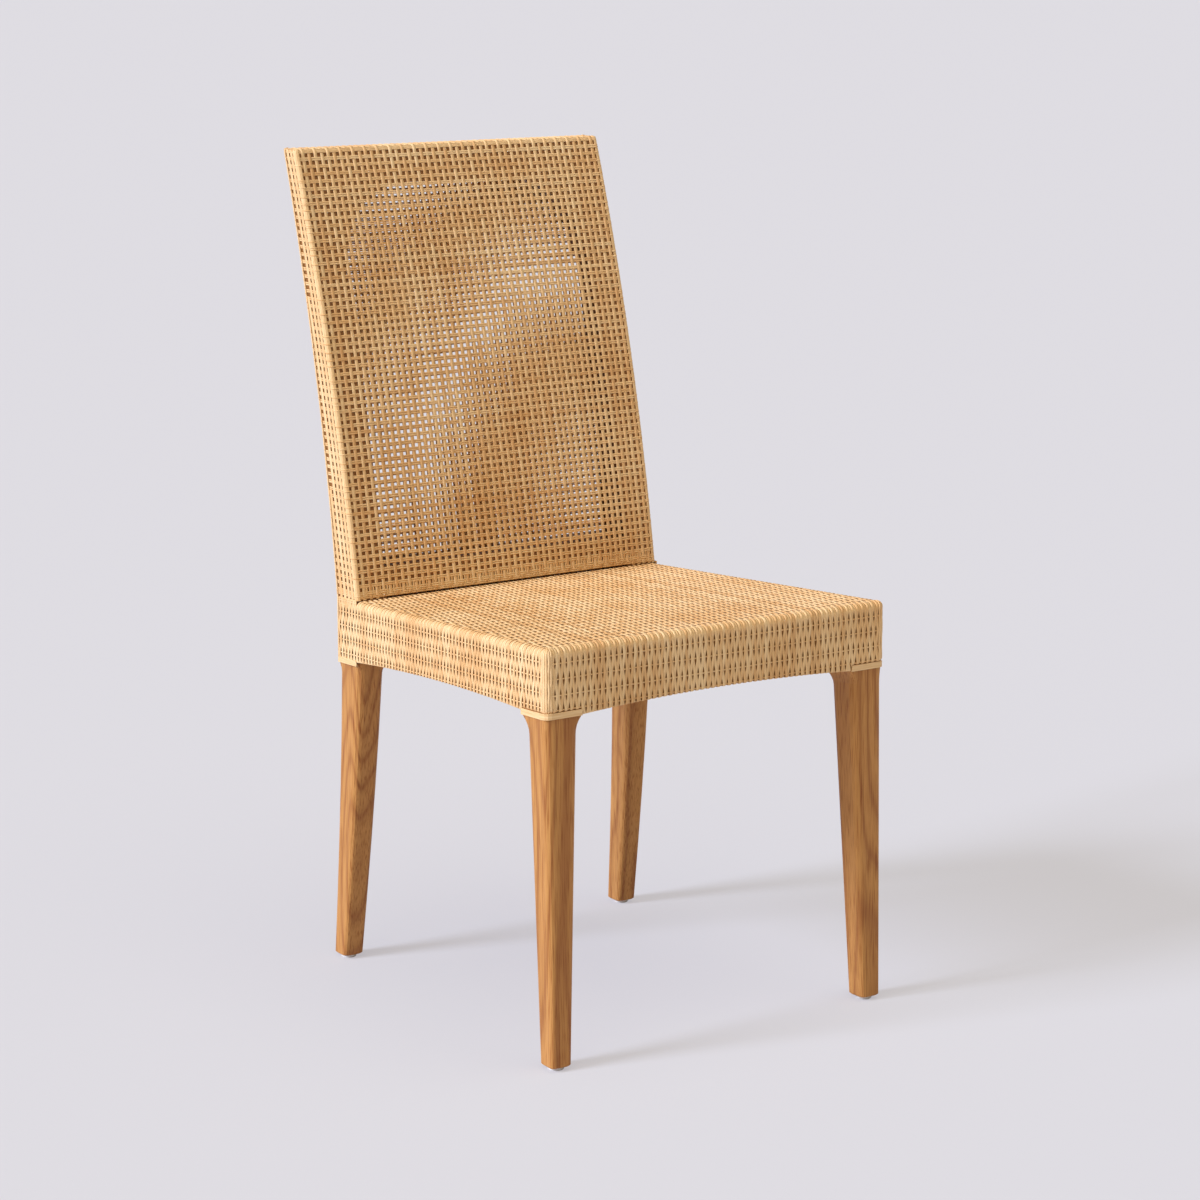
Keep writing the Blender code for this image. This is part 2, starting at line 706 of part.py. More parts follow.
def make_corner_blocks(rails, kit):
    """Four blocks in the corners of the frame, each held to its two rails by screws."""
    half = front_half - cane_depth - RAIL_THICKNESS
    rear_leg_width = half - (post_inner_x - CLEARANCE) / taper_at(post_front_y)
    rear_leg_depth = BACK_BASE_THICKNESS - 2 * cane_depth - RAIL_THICKNESS
    corners = (
        ("front", seat_front_y, 1, half - leg_inner_x, LEG_BLOCK_DEPTH - RAIL_THICKNESS),
        ("rear", seat_rear_y, -1, rear_leg_width, rear_leg_depth),
    )
    middle_z = rail_top - BLOCK_BELOW_TOP - BLOCK_HEIGHT / 2
    for end, edge_y, forward, leg_width, leg_depth in corners:
        corner_y = edge_y + forward * (cane_depth + RAIL_THICKNESS)
        for side, side_name in ((-1, "left"), (1, "right")):

            def to_frame(point):
                """From the block's own corner to its corner of the seat frame."""
                x = side * (half - point.x)
                y = corner_y + forward * point.y
                return seat_point(Vector((x, y, point.z + middle_z)))

            bm = outline_solid(block_outline(leg_width, leg_depth), BLOCK_HEIGHT)
            reshape(bm, to_frame)
            face_outwards(bm)
            block = place_object(f"{end}_{side_name}_corner_block", bm, kit["beech"], kit)
            screw_block(block, rails[end], 0, to_frame, kit)
            screw_block(block, rails[side_name], 1, to_frame, kit)


# Back frame

def back_rail(name, body, bar_low, bar_high, legs, kit):
    """A rail between the posts, swept with them, with a tenon at each end.

    The bar, from end to end, is the place of both tenons and of their mortises.
    """
    slice_levels(body)
    reshape(body, sweep_wood)
    face_outwards(body)
    rail = place_object(name, body, kit["teak"], kit)
    root = post_inner_x - CLEARANCE - TENON_ROOT
    for low_x, high_x, side_name in ((bar_low[0], -root, "left"), (root, bar_high[0], "right")):
        tenon = box((low_x, *bar_low[1:]), (high_x, *bar_high[1:]))
        slice_levels(tenon)
        reshape(tenon, sweep_wood)
        combine(rail, place_cutter(f"{name}_{side_name}_tenon", tenon, kit), 'UNION')
    room_share = CLEARANCE / BACK_TOP_THICKNESS
    room = Vector((CLEARANCE, room_share, CLEARANCE))
    mortise = box(Vector(bar_low) - room, Vector(bar_high) + room)
    slice_levels(mortise)
    reshape(mortise, sweep_wood)
    cutter = place_cutter(name + "_mortises", mortise, kit)
    for leg in legs:
        combine(leg, cutter, 'DIFFERENCE')


def top_rail_outline():
    """Front view of the top rail: straight above, with an ear at each end that rounds the opening."""
    end_x = post_inner_x - CLEARANCE
    points = [(end_x, post_top), (-end_x, post_top), (-end_x, corner_z)]
    for side, start in ((-1, 180), (1, 90)):
        for step in range(OPENING_ARC_STEPS + 1):
            angle = math.radians(start - 90 * step / OPENING_ARC_STEPS)
            x = side * corner_x + corner_width * math.cos(angle)
            points.append((x, corner_z + corner_height * math.sin(angle)))
    points.append((end_x, corner_z))
    return points


def make_back_rails(legs, kit):
    posts = (legs["rear_left"], legs["rear_right"])
    reach = post_inner_x + TENON_LENGTH
    thin = (1 - BACK_TENON_SHARE) / 2

    top = outline_solid(top_rail_outline(), 1)
    bmesh.ops.rotate(top, cent=(0, 0, 0), matrix=Matrix.Rotation(math.radians(90), 3, 'X'), verts=top.verts)
    bmesh.ops.translate(top, vec=(0, 0.5, 0), verts=top.verts)
    for vert in top.verts:
        if vert.co.z > post_top - CLEARANCE:
            vert.co.z -= TOP_EASE
    ridge_share = TOP_EASE / BACK_TOP_THICKNESS
    ridge = [face for face in top.faces if face.normal.z > 0.9]
    raised = bmesh.ops.extrude_face_region(top, geom=ridge)
    for vert in [item for item in raised["geom"] if isinstance(item, bmesh.types.BMVert)]:
        vert.co.z += TOP_EASE
        vert.co.y = min(max(vert.co.y, ridge_share), 1 - ridge_share)
    bmesh.ops.delete(top, geom=ridge, context='FACES_ONLY')
    tenon_top = post_top - TENON_SHOULDER
    tenon_bottom = tenon_top - TOP_TENON_SHARE * (post_top - corner_z)
    back_rail(
        "back_top_rail", top, (-reach, thin, tenon_bottom), (reach, 1 - thin, tenon_top), posts, kit,
    )

    low = (-post_inner_x + CLEARANCE, 0, panel_bottom + cane_depth)
    high = (post_inner_x - CLEARANCE, 1, opening_bottom)
    back_rail(
        "back_lower_rail", box(low, high),
        (-reach, thin, low[2] + LOWER_TENON_SHOULDER), (reach, 1 - thin, high[2] - LOWER_TENON_SHOULDER),
        posts, kit,
    )


# Seat cane

def seat_shell():
    """The outside of the whole caned seat, level, square and open below."""
    rings = []

    def add_ring(height, inset):
        front_radius = max(LEAST_ROUNDING, SEAT_EDGE_RADIUS - inset)
        rear_radius = max(LEAST_ROUNDING, BACK_EDGE_RADIUS - inset)
        low = (-front_half + inset, seat_front_y + inset)
        high = (front_half - inset, seat_rear_y - inset)
        points = rounded_ring(low, high, (front_radius, front_radius, rear_radius, rear_radius))
        rings.append([Vector((x, y, height)) for x, y in points])

    add_ring(apron_bottom, 0)
    for step in range(ARC_STEPS + 1):
        angle = math.radians(90 * step / ARC_STEPS)
        height = SEAT_HEIGHT - SEAT_EDGE_RADIUS * (1 - math.sin(angle))
        add_ring(height, SEAT_EDGE_RADIUS * (1 - math.cos(angle)))
    return loft(rings, cap_bottom=False)


def place_skin(name, bm, material, kit):
    give_thickness(place_object(name, bm, material, kit))


def keep_outside(bm, side, inner_x):
    """Keep what lies further out than a distance from the middle, on one side of the chair."""
    keep_between(bm, 0, inner_x if side > 0 else None, None if side > 0 else -inner_x)


def make_seat_top(kit):
    """The seat's top with its rounded edges, cut out round the two posts."""
    bm = seat_shell()
    keep_between(bm, 2, seat_wall_top + seam, None)
    reshape(bm, seat_point)
    notch_x = post_inner_x - CLEARANCE
    notch_y = seat_rear_y - BACK_BASE_THICKNESS - CLEARANCE
    for place in (-notch_x, notch_x):
        slice_at(bm, 0, place)
    slice_at(bm, 1, notch_y)
    remove_faces(bm, lambda centre: abs(centre.x) > notch_x and centre.y > notch_y)
    place_skin("seat_top_cane", bm, kit["cane"], kit)


def finish_apron(name, bm, axis, ends, arch_ends, inward, kit):
    """Trim one wall of the seat to an apron cane.

    It is arched below between the legs, stops above the trims on them, and turns in under its rail.
    """
    keep_between(bm, 2, None, seat_wall_top - seam)
    keep_between(bm, axis, *ends)
    middle = (arch_ends[0] + arch_ends[1]) / 2
    half_span = (arch_ends[1] - arch_ends[0]) / 2 - CLEARANCE
    for step in range(ARCH_STEPS + 1):
        slice_at(bm, axis, middle + half_span * (2 * step / ARCH_STEPS - 1))
    slice_at(bm, 2, trim_top + seam)
    remove_faces(
        bm, lambda centre: abs(centre[axis] - middle) > half_span and centre.z < trim_top + seam,
    )
    lower = {vert for vert in bm.verts if vert.co.z < apron_bottom + seam}
    lower_edges = [edge for edge in bm.edges if lower.issuperset(edge.verts)]
    wall_top = max(vert.co.z for vert in bm.verts)
    for vert in bm.verts:
        if vert in lower or abs(vert.co[axis] - middle) < half_span - CLEARANCE:
            share_below_top = (wall_top - vert.co.z) / (wall_top - apron_bottom)
            vert.co.z += share_below_top * arch_at(axis, vert.co[axis], middle, half_span)
    turned_in = bmesh.ops.extrude_edge_only(bm, edges=lower_edges)
    verts = [item for item in turned_in["geom"] if isinstance(item, bmesh.types.BMVert)]
    bmesh.ops.translate(bm, vec=inward, verts=verts)
    reshape(bm, seat_point)
    place_skin(name, bm, kit["cane"], kit)


def make_aprons(kit):
    front = seat_shell()
    keep_between(front, 1, None, seat_front_y + CLEARANCE)
    reach = front_half - SEAT_CANE_REACH - seam
    finish_apron(
        "front_apron_cane", front, 0, (-reach, reach), (-leg_inner_x, leg_inner_x), (0, LIP, 0), kit,
    )
    rear = seat_shell()
    keep_between(rear, 1, seat_rear_y - CLEARANCE, None)
    reach = (back_half - BACK_CANE_REACH - seam) / rear_taper
    arch_reach = post_inner_x / rear_taper - CLEARANCE
    finish_apron(
        "rear_apron_cane", rear, 0, (-reach, reach), (-arch_reach, arch_reach), (0, -LIP, 0), kit,
    )
    ends = (seat_front_y + SEAT_CANE_REACH + seam, seat_rear_y - BACK_CANE_REACH - seam)
    for side, side_name in ((-1, "left"), (1, "right")):
        bm = seat_shell()
        keep_outside(bm, side, front_half - CLEARANCE)
        finish_apron(
            side_name + "_apron_cane", bm, 1, ends, (leg_back_y, post_front_y), (-side * LIP, 0, 0), kit,
        )


def make_seat_corners(kit):
    """The rounded strands at the two front corners, and the flat strips that wrap each leg's top."""
    for side, side_name in ((-1, "left"), (1, "right")):
        bm = seat_shell()
        keep_between(bm, 2, trim_top + seam, seat_wall_top - seam)
        keep_between(bm, 1, None, seat_front_y + SEAT_CANE_REACH - seam)
        keep_outside(bm, side, front_half - SEAT_CANE_REACH + seam)
        reshape(bm, seat_point)
        place_skin(f"front_{side_name}_seat_corner_cane", bm, kit["smooth_cane"], kit)

        bm = seat_shell()
        keep_between(bm, 2, None, trim_top - seam)
        keep_between(bm, 1, None, leg_back_y)
        keep_outside(bm, side, leg_inner_x)
        reshape(bm, seat_point)
        place_skin(f"front_{side_name}_leg_trim", bm, kit["smooth_cane"], kit)

        bm = seat_shell()
        keep_between(bm, 2, None, trim_top - seam)
        keep_between(bm, 1, post_front_y, None)
        keep_outside(bm, side, post_inner_x / rear_taper)
        reshape(bm, seat_point)
        place_skin(f"rear_{side_name}_leg_trim", bm, kit["smooth_cane"], kit)


# Back cane

def make_back_panel(name, facing, kit):
    """One face of the back: a flat net over the opening, and a closed skin over posts and rails.

    On the posts the skin runs down to the seat in front, and past the seat's edge behind.
    """
    half = back_half - BACK_CANE_REACH - seam
    foot = seat_at_back + CLEARANCE if facing < 0 else back_base - SEAT_CANE_REACH + seam
    bm = box((-half, 0, foot), (half, CLEARANCE, panel_top))
    face_outwards(bm)
    flat = [face for face in bm.faces if face.normal.y < -0.5]
    rest = [face for face in bm.faces if face not in flat]
    bmesh.ops.delete(bm, geom=rest, context='FACES')
    for place in column_lines:
        slice_at(bm, 0, place)
    for place in [panel_bottom] + row_lines:
        slice_at(bm, 2, place)
    remove_faces(bm, lambda centre: abs(centre.x) < post_inner_x and centre.z < panel_bottom)

    def is_gap(centre):
        """Whether a cell of the net lies in the opening, clear of its round upper corners."""
        if not (abs(centre.x) < post_inner_x and opening_bottom < centre.z < opening_top):
            return False
        x_share = max(0, abs(centre.x) + column_step * GAP_EDGE_SHARE - corner_x) / corner_width
        z_share = max(0, centre.z + row_step * GAP_EDGE_SHARE - corner_z) / corner_height
        return math.hypot(x_share, z_share) < 1

    gaps = [face for face in bm.faces if is_gap(face.calc_center_median())]
    bmesh.ops.inset_individual(bm, faces=gaps, thickness=NET_STRAND / 2)
    bmesh.ops.delete(bm, geom=gaps, context='FACES')
    if facing > 0:
        bmesh.ops.reverse_faces(bm, faces=bm.faces)
        bmesh.ops.translate(bm, vec=(0, BACK_TOP_THICKNESS, 0), verts=bm.verts)
    reshape(bm, sweep_skin)
    place_skin(name, bm, kit["cane"], kit)


def back_shell():
    """The outside of the whole caned back, upright and flat, open below."""
    low = (-back_half, 0)
    high = (back_half, BACK_TOP_THICKNESS)
    rings = []

    def add_ring(height, inset):
        radius = max(LEAST_ROUNDING, BACK_EDGE_RADIUS - inset)
        points = rounded_ring(
            (low[0] + inset, low[1] + inset), (high[0] - inset, high[1] - inset), (radius,) * 4,
        )
        rings.append([Vector((x, y, height)) for x, y in points])

    for level in [apron_bottom - SEAT_DROP] + back_levels[:-1]:
        add_ring(level, 0)
    for step in range(ARC_STEPS + 1):
        angle = math.radians(90 * step / ARC_STEPS)
        height = TOTAL_HEIGHT - BACK_EDGE_RADIUS * (1 - math.sin(angle))
        add_ring(height, BACK_EDGE_RADIUS * (1 - math.cos(angle)))
    return loft(rings, cap_bottom=False)


def make_back_edges(kit):
    """The caned sides and top of the back, and the smooth strands down its four corners."""
    inner_x = back_half - BACK_CANE_REACH
    inner_y = BACK_CANE_REACH
    outer_y = BACK_TOP_THICKNESS - BACK_CANE_REACH
    for side, side_name in ((-1, "left"), (1, "right")):
        x_low = inner_x + seam if side > 0 else None
        x_high = None if side > 0 else -inner_x - seam
        bm = back_shell()
        keep_between(bm, 0, x_low, x_high)
        keep_between(bm, 1, inner_y + seam, outer_y - seam)
        reshape(bm, sweep_skin)
        keep_above_seat_line(bm, seat_wall_top + seam)
        place_skin(f"back_{side_name}_edge_cane", bm, kit["cane"], kit)
        for end_name in ("front", "rear"):
            bm = back_shell()
            keep_between(bm, 0, x_low, x_high)
            if end_name == "front":
                keep_between(bm, 1, None, inner_y - seam)
            else:
                keep_between(bm, 1, outer_y + seam, None)
            reshape(bm, sweep_skin)
            if end_name == "front":
                keep_above_seat_line(bm, SEAT_HEIGHT + CLEARANCE)
            else:
                keep_above_seat_line(bm, trim_top + seam)
            place_skin(f"back_{end_name}_{side_name}_corner_cane", bm, kit["smooth_cane"], kit)

    bm = back_shell()
    keep_between(bm, 0, -inner_x + seam, inner_x - seam)
    keep_between(bm, 2, TOTAL_HEIGHT - BACK_CANE_REACH + seam, None)
    reshape(bm, sweep_skin)
    place_skin("back_top_edge_cane", bm, kit["cane"], kit)


def make_seat_cane(kit):
    make_seat_top(kit)
    make_aprons(kit)
    make_seat_corners(kit)


def make_back_cane(kit):
    make_back_panel("back_front_cane", -1, kit)
    make_back_panel("back_rear_cane", 1, kit)
    make_back_edges(kit)


def build_chair():
    clear_scene()
    chair = bpy.data.objects.new("chair", None)
    kit = {
        "chair": chair,
        "parts": make_collection("cane_back_chair"),
        "cutters": make_collection("cutters"),
        "centre": Vector((0, (seat_front_y + seat_rear_y) / 2, 0)),
        "teak": make_material("oiled_teak", (0.45, 0.24, 0.10), 0.5, 0),
        "beech": make_material("planed_beech", (0.55, 0.38, 0.22), 0.6, 0),
        "cane": make_material("woven_cane", (0.70, 0.46, 0.22), 0.55, 0),
        "smooth_cane": make_material("smooth_cane", (0.75, 0.52, 0.27), 0.45, 0),
        "nylon": make_material("natural_nylon", (0.75, 0.73, 0.68), 0.4, 0),
        "steel": make_material("zinc_plated_steel", (0.60, 0.60, 0.60), 0.35, 1),
    }
    kit["parts"].objects.link(chair)
    legs = make_legs(kit)
    rails = make_seat_rails(legs, kit)
    make_corner_blocks(rails, kit)
    make_back_rails(legs, kit)
    make_seat_cane(kit)
    make_back_cane(kit)


build_chair()
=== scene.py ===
"""The looks of a dining chair: woven cane over a teak frame, in a pale studio.

Metres, +Z up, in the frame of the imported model. The chair faces -Y.
The cane is laid strand by strand on three surfaces that follow the frame: the seat with its
aprons, the two faces of the back with its top edge, and the back's sides.
"""
import functools
import math
import random

import bmesh
import bpy
from mathutils import Matrix, Vector


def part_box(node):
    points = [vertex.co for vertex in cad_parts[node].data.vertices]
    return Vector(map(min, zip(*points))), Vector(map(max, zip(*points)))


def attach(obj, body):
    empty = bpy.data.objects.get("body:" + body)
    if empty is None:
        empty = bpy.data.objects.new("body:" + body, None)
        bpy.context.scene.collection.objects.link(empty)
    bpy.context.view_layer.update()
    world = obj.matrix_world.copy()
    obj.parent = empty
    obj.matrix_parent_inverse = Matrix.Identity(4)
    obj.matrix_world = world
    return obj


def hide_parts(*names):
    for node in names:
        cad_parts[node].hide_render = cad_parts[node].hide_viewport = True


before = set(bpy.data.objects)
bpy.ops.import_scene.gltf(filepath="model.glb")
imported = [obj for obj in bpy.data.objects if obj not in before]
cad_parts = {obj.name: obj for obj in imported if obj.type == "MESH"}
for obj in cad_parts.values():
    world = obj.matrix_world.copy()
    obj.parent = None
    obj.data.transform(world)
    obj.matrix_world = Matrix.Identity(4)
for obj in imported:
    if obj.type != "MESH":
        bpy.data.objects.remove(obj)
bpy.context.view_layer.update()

# Sizes of the frame that the cane follows
SEAT_HEIGHT = 0.4735
SEAT_DROP = 0.0255
SEAT_DEPTH = 0.479
SEAT_HALF_WIDTH = 0.2325
BACK_HALF_WIDTH = 0.2145
SEAT_RADIUS = 0.008
APRON_BOTTOM = SEAT_HEIGHT - 0.078
TRIM_TOP = APRON_BOTTOM + 0.007
FRONT_ARCH_RISE = 0.0066
SIDE_ARCH_RISE = 0.0060
SIDE_ARCH_START = 0.0040
ARCH_PAST_POST = 0.0018  # how far the side arch runs on under the back's post
LEG_WIDTH = 0.0478  # of the front leg's block, with its cane
LEG_DEPTH = 0.0518
POST_WIDTH = 0.0423  # of the back's post, with its cane
TOTAL_HEIGHT = 0.971
BACK_SWEEP = 0.109
SWEEP_START_SHARE = 0.530
BACK_BASE_THICKNESS = 0.050
BACK_TOP_THICKNESS = 0.029
BACK_RADIUS = 0.004
BACK_SLOT = 0.004
STRIP_REACH = 0.0058  # of the smooth strips at the back's corners
CORNER_REACH = 0.0095  # of the smooth strands at the seat's front corners

# Strands
STRAND_THICKNESS = 0.0006
WIDTH_SPREAD = (0.93, 1.05)  # the narrowest and the widest, as shares of the usual width
CROWN = 0.0002  # how much lower a strand's edges lie than its middle
TOP_CROWN = 0.00008  # the same for the seat's top, worn flat
TURN_RADIUS = 0.0015  # where the cane turns in under a rail
TURN_DROP_SHARE = 0.9  # how far the back's cane drops in that turn
LIP = 0.011  # how far the cane runs on under a seat rail
LIP_MIDDLE = 0.005
UNDER_LIP = 0.006  # how far it runs on under the back's lower rail
BEHIND_TRIM = 0.001  # how far it runs down behind the trim on a leg
END_GAP = 0.0005  # between a strand's end and the cane that it meets
STATION_MARGIN = 0.0008  # least distance of a station from a strand's ends
PROFILE_STEP = 0.0001  # for the direction of the back's profile

seat_front_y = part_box("front_apron_cane")[0].y
seat_rear_y = seat_front_y + SEAT_DEPTH
seat_slope = SEAT_DROP / SEAT_DEPTH
back_base = SEAT_HEIGHT - SEAT_DROP
back_rise = TOTAL_HEIGHT - back_base
post_inner_x = BACK_HALF_WIDTH - POST_WIDTH
seat_at_back = SEAT_HEIGHT - seat_slope * (SEAT_DEPTH - BACK_BASE_THICKNESS)
panel_bottom = seat_at_back + BACK_SLOT
rear_panel_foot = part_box("back_rear_cane")[0].z
wall_top = SEAT_HEIGHT - SEAT_RADIUS
front_straight = SEAT_HALF_WIDTH - SEAT_RADIUS
seat_arc = SEAT_RADIUS * math.pi / 2
corner_end = front_straight + seat_arc  # of the seat's outline, where its side begins
back_arc = BACK_RADIUS * math.pi / 2
half_top = BACK_TOP_THICKNESS / 2 - BACK_RADIUS
SIDES = ((-1, "left"), (1, "right"))
FACINGS = ((-1, "front"), (1, "rear"))
chance = random.Random(4)


# The surfaces that carry the cane

def taper_at(y):
    return 1 + (BACK_HALF_WIDTH / SEAT_HALF_WIDTH - 1) * (y - seat_front_y) / SEAT_DEPTH


def seat_point(point):
    """From the level, square seat to the real one, which tapers and slopes to its back."""
    drop = seat_slope * (point.y - seat_front_y)
    return Vector((point.x * taper_at(point.y), point.y, point.z - drop))


def arch_height(share):
    return max(0, 1 - share * share)


def lower_edge(x, y, on_front):
    """Height of the apron's lower edge. Over the legs it rests on their trim."""
    if on_front:
        reach = SEAT_HALF_WIDTH - LEG_WIDTH
        if abs(x) > reach:
            return TRIM_TOP
        return APRON_BOTTOM + FRONT_ARCH_RISE * arch_height(x / reach)
    start = seat_front_y + LEG_DEPTH
    end = seat_rear_y - BACK_BASE_THICKNESS + ARCH_PAST_POST
    if y < start or y > end:
        return TRIM_TOP
    share = (2 * y - start - end) / (end - start)
    return APRON_BOTTOM + SIDE_ARCH_START + SIDE_ARCH_RISE * arch_height(share)


def seat_plan(place):
    """A point of the seat's outline in plan, and its outward direction.

    The place is measured along the outline from the middle of the front, to the right.
    """
    side = 1 if place > 0 else -1
    rest = abs(place)
    if rest <= front_straight:
        return place, seat_front_y, 0, -1
    rest -= front_straight
    if rest <= seat_arc:
        turn = rest / SEAT_RADIUS
        x = front_straight + SEAT_RADIUS * math.sin(turn)
        y = seat_front_y + SEAT_RADIUS * (1 - math.cos(turn))
        return side * x, y, side * math.sin(turn), -math.cos(turn)
    y = seat_front_y + SEAT_RADIUS + rest - seat_arc
    return side * SEAT_HALF_WIDTH, y, side, 0


def turn_in(past):
    """How far the cane has turned, and come in, at a distance past a turn's start."""
    turn = min(math.pi / 2, past / TURN_RADIUS)
    return turn, TURN_RADIUS * (1 - math.cos(turn)) + max(0, past - TURN_RADIUS * math.pi / 2)


def seat_profile(height, low):
    """How far in and how high a strand runs, and which way is out, as it climbs the apron.

    It comes out from under the rail, climbs the apron, and bends over on to the seat's top.
    """
    if height > wall_top + seat_arc:
        return SEAT_RADIUS + height - wall_top - seat_arc, SEAT_HEIGHT, 0, 1
    if height > wall_top:
        turn = (height - wall_top) / SEAT_RADIUS
        inset = SEAT_RADIUS * (1 - math.cos(turn))
        return inset, wall_top + SEAT_RADIUS * math.sin(turn), math.cos(turn), math.sin(turn)
    start = low + TURN_RADIUS
    if height > start:
        return 0, height, 1, 0
    turn, inset = turn_in(start - height)
    return inset, start - TURN_RADIUS * math.sin(turn), math.cos(turn), -math.sin(turn)


def seat_cloth(place, height, lift):
    x, y, out_x, out_y = seat_plan(place)
    low = lower_edge(x, y, abs(place) < front_straight + seat_arc / 2)
    inset, z, out, up = seat_profile(height, low)
    reach = lift * out - inset
    return seat_point(Vector((x + out_x * reach, y + out_y * reach, z + lift * up)))


def post_cloth(place, height, lift):
    """The apron beside a back post, which doesn't bend over at its top."""
    x, y, out_x, out_y = seat_plan(place)
    return seat_point(Vector((x + out_x * lift, y + out_y * lift, height)))


def rear_cloth(place, height, lift):
    """The apron behind the seat. Its places run from the chair's right to its left."""
    reach = post_inner_x / taper_at(seat_rear_y)
    low = TRIM_TOP
    if abs(place) < reach:
        low = APRON_BOTTOM + FRONT_ARCH_RISE * arch_height(place / reach)
    inset, z, out, up = seat_profile(height, low)
    return seat_point(Vector((-place, seat_rear_y + lift * out - inset, z + lift * up)))


def share_up(z):
    return max(0, (z - back_base) / back_rise)


def rear_face(z):
    share = share_up(z)
    lean = SWEEP_START_SHARE * share + (1 - SWEEP_START_SHARE) * share * share
    return seat_rear_y + BACK_SWEEP * lean


def thickness_at(z):
    return BACK_BASE_THICKNESS + (BACK_TOP_THICKNESS - BACK_BASE_THICKNESS) * share_up(z)


def front_face(z):
    return rear_face(z) - thickness_at(z)


def back_point(way):
    """A point of the back's profile. The way runs from the top's middle, forwards below zero."""
    rest = abs(way)
    if rest <= half_top:
        middle = (front_face(TOTAL_HEIGHT) + rear_face(TOTAL_HEIGHT)) / 2
        return middle + way, TOTAL_HEIGHT
    turn = min(math.pi / 2, (rest - half_top) / BACK_RADIUS)
    inset = BACK_RADIUS * (1 - math.sin(turn))
    z = TOTAL_HEIGHT - BACK_RADIUS * (1 - math.cos(turn)) - max(0, rest - half_top - back_arc)
    return (front_face(z) + inset if way < 0 else rear_face(z) - inset), z


@functools.lru_cache(None)
def back_profile(way):
    y, z = back_point(way)
    before = back_point(way - PROFILE_STEP)
    after = back_point(way + PROFILE_STEP)
    along = Vector((after[0] - before[0], after[1] - before[1])).normalized()
    return y, z, -along.y, along.x


def way_at(z, facing):
    return facing * (half_top + back_arc + TOTAL_HEIGHT - BACK_RADIUS - z)


def back_cloth(place, way, lift):
    y, z, out, up = back_profile(way)
    return Vector((place, y + lift * out, z + lift * up))


def under_cloth(facing):
    """The short way that the back's cane turns in under its lower rail."""
    foot = way_at(panel_bottom, facing)

    def cloth(place, way, lift):
        past = abs(way) - abs(foot)
        if past <= 0:
            return back_cloth(place, way, lift)
        y, z, out, up = back_profile(foot)
        turn, inset = turn_in(past)
        y -= facing * (inset - lift * math.cos(turn))
        drop = (TURN_RADIUS + lift) * math.sin(turn) * TURN_DROP_SHARE
        return Vector((place, y, z - drop))

    return cloth


def side_cloth(side):
    """A side of the back. The place is the distance behind its front face, times the side."""
    def cloth(place, z, lift):
        return Vector((side * (BACK_HALF_WIDTH + lift), front_face(z) + place * side, z))

    return cloth


# Laying strands

def around(most):
    """A random step to either side."""
    return chance.uniform(-most, most)


def new_weave():
    bm = bmesh.new()
    for name in ("along", "across", "tone"):
        bm.verts.layers.float.new(name)
    return bm


def lay(
    bm, cloth, upright, place, stations, width, lift, shift_at=None, tone=None, swell=None,
    crown=CROWN,
):
    """Lay one strand, crowned across its width, through its stations on a surface.

    Its lift is a number, or found at each station.
    """
    layers = [bm.verts.layers.float[name] for name in ("along", "across", "tone")]
    steps = len(stations) - 1
    if tone is None:
        tone = chance.random()
    width = width * (swell or chance.uniform(*WIDTH_SPREAD))
    grid = bmesh.ops.create_grid(bm, x_segments=2, y_segments=steps, size=0.5)
    lifts = [lift(station) if callable(lift) else lift for station in stations]
    shifts = [place + (shift_at(station) if shift_at else 0) for station in stations]
    for vert in grid["verts"]:
        index = round((vert.co.y + 0.5) * steps)
        side = 2 * vert.co.x
        height = lifts[index] - crown * side * side
        station = stations[index]
        vert[layers[0]] = station
        vert[layers[1]] = side
        vert[layers[2]] = tone
        if upright:
            vert.co = cloth(shifts[index] + side * width / 2, station, height)
        else:
            vert.co = cloth(station, shifts[index] - side * width / 2, height)
        if index in (0, steps):
            # The cut ends are crisp, so a strand that goes on in the next piece shows no seam.
            for edge in vert.link_edges:
                edge.smooth = False


def add_object(name, data):
    thing = bpy.data.objects.new(name, data)
    bpy.context.scene.collection.objects.link(thing)
    return thing


def add_mesh(name, bm, material):
    mesh = bpy.data.meshes.new(name)
    bm.to_mesh(mesh)
    bm.free()
    mesh.materials.append(material)
    return add_object(name, mesh)


def finish_weave(
    name, bm, material, *stands_for, slot_name="woven_cane", thickness=STRAND_THICKNESS,
):
    """Make one piece of the strands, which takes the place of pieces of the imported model."""
    piece = add_mesh(name, bm, material)
    piece.data.shade_smooth()
    shell = piece.modifiers.new("thickness", 'SOLIDIFY')
    shell.thickness = thickness
    shell.offset = -1
    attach(piece, "root")
    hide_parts(*stands_for)


def spaced(low, high, step):
    """Places from low to high, at about the step apart."""
    count = max(1, round((high - low) / step))
    return [low + (high - low) * index / count for index in range(count + 1)]


def middles(low, high, step):
    """Middles of equal parts, each about the step wide."""
    count = max(1, round((high - low) / step))
    return [low + (high - low) * (index + 0.5) / count for index in range(count)]


def phase_at(place, rows):
    """Which row a place lies at: whole at a row, and a share on the way to the next."""
    if place <= rows[0]:
        return (place - rows[0]) / (rows[1] - rows[0])
    for index in range(len(rows) - 1):
        if place <= rows[index + 1]:
            return index + (place - rows[index]) / (rows[index + 1] - rows[index])
    return len(rows) - 1 + (place - rows[-1]) / (rows[-1] - rows[-2])


# Lattice cane: at every row the strands close up in pairs round a thin cross strand, and at the
# next row each strand pairs with its other neighbour

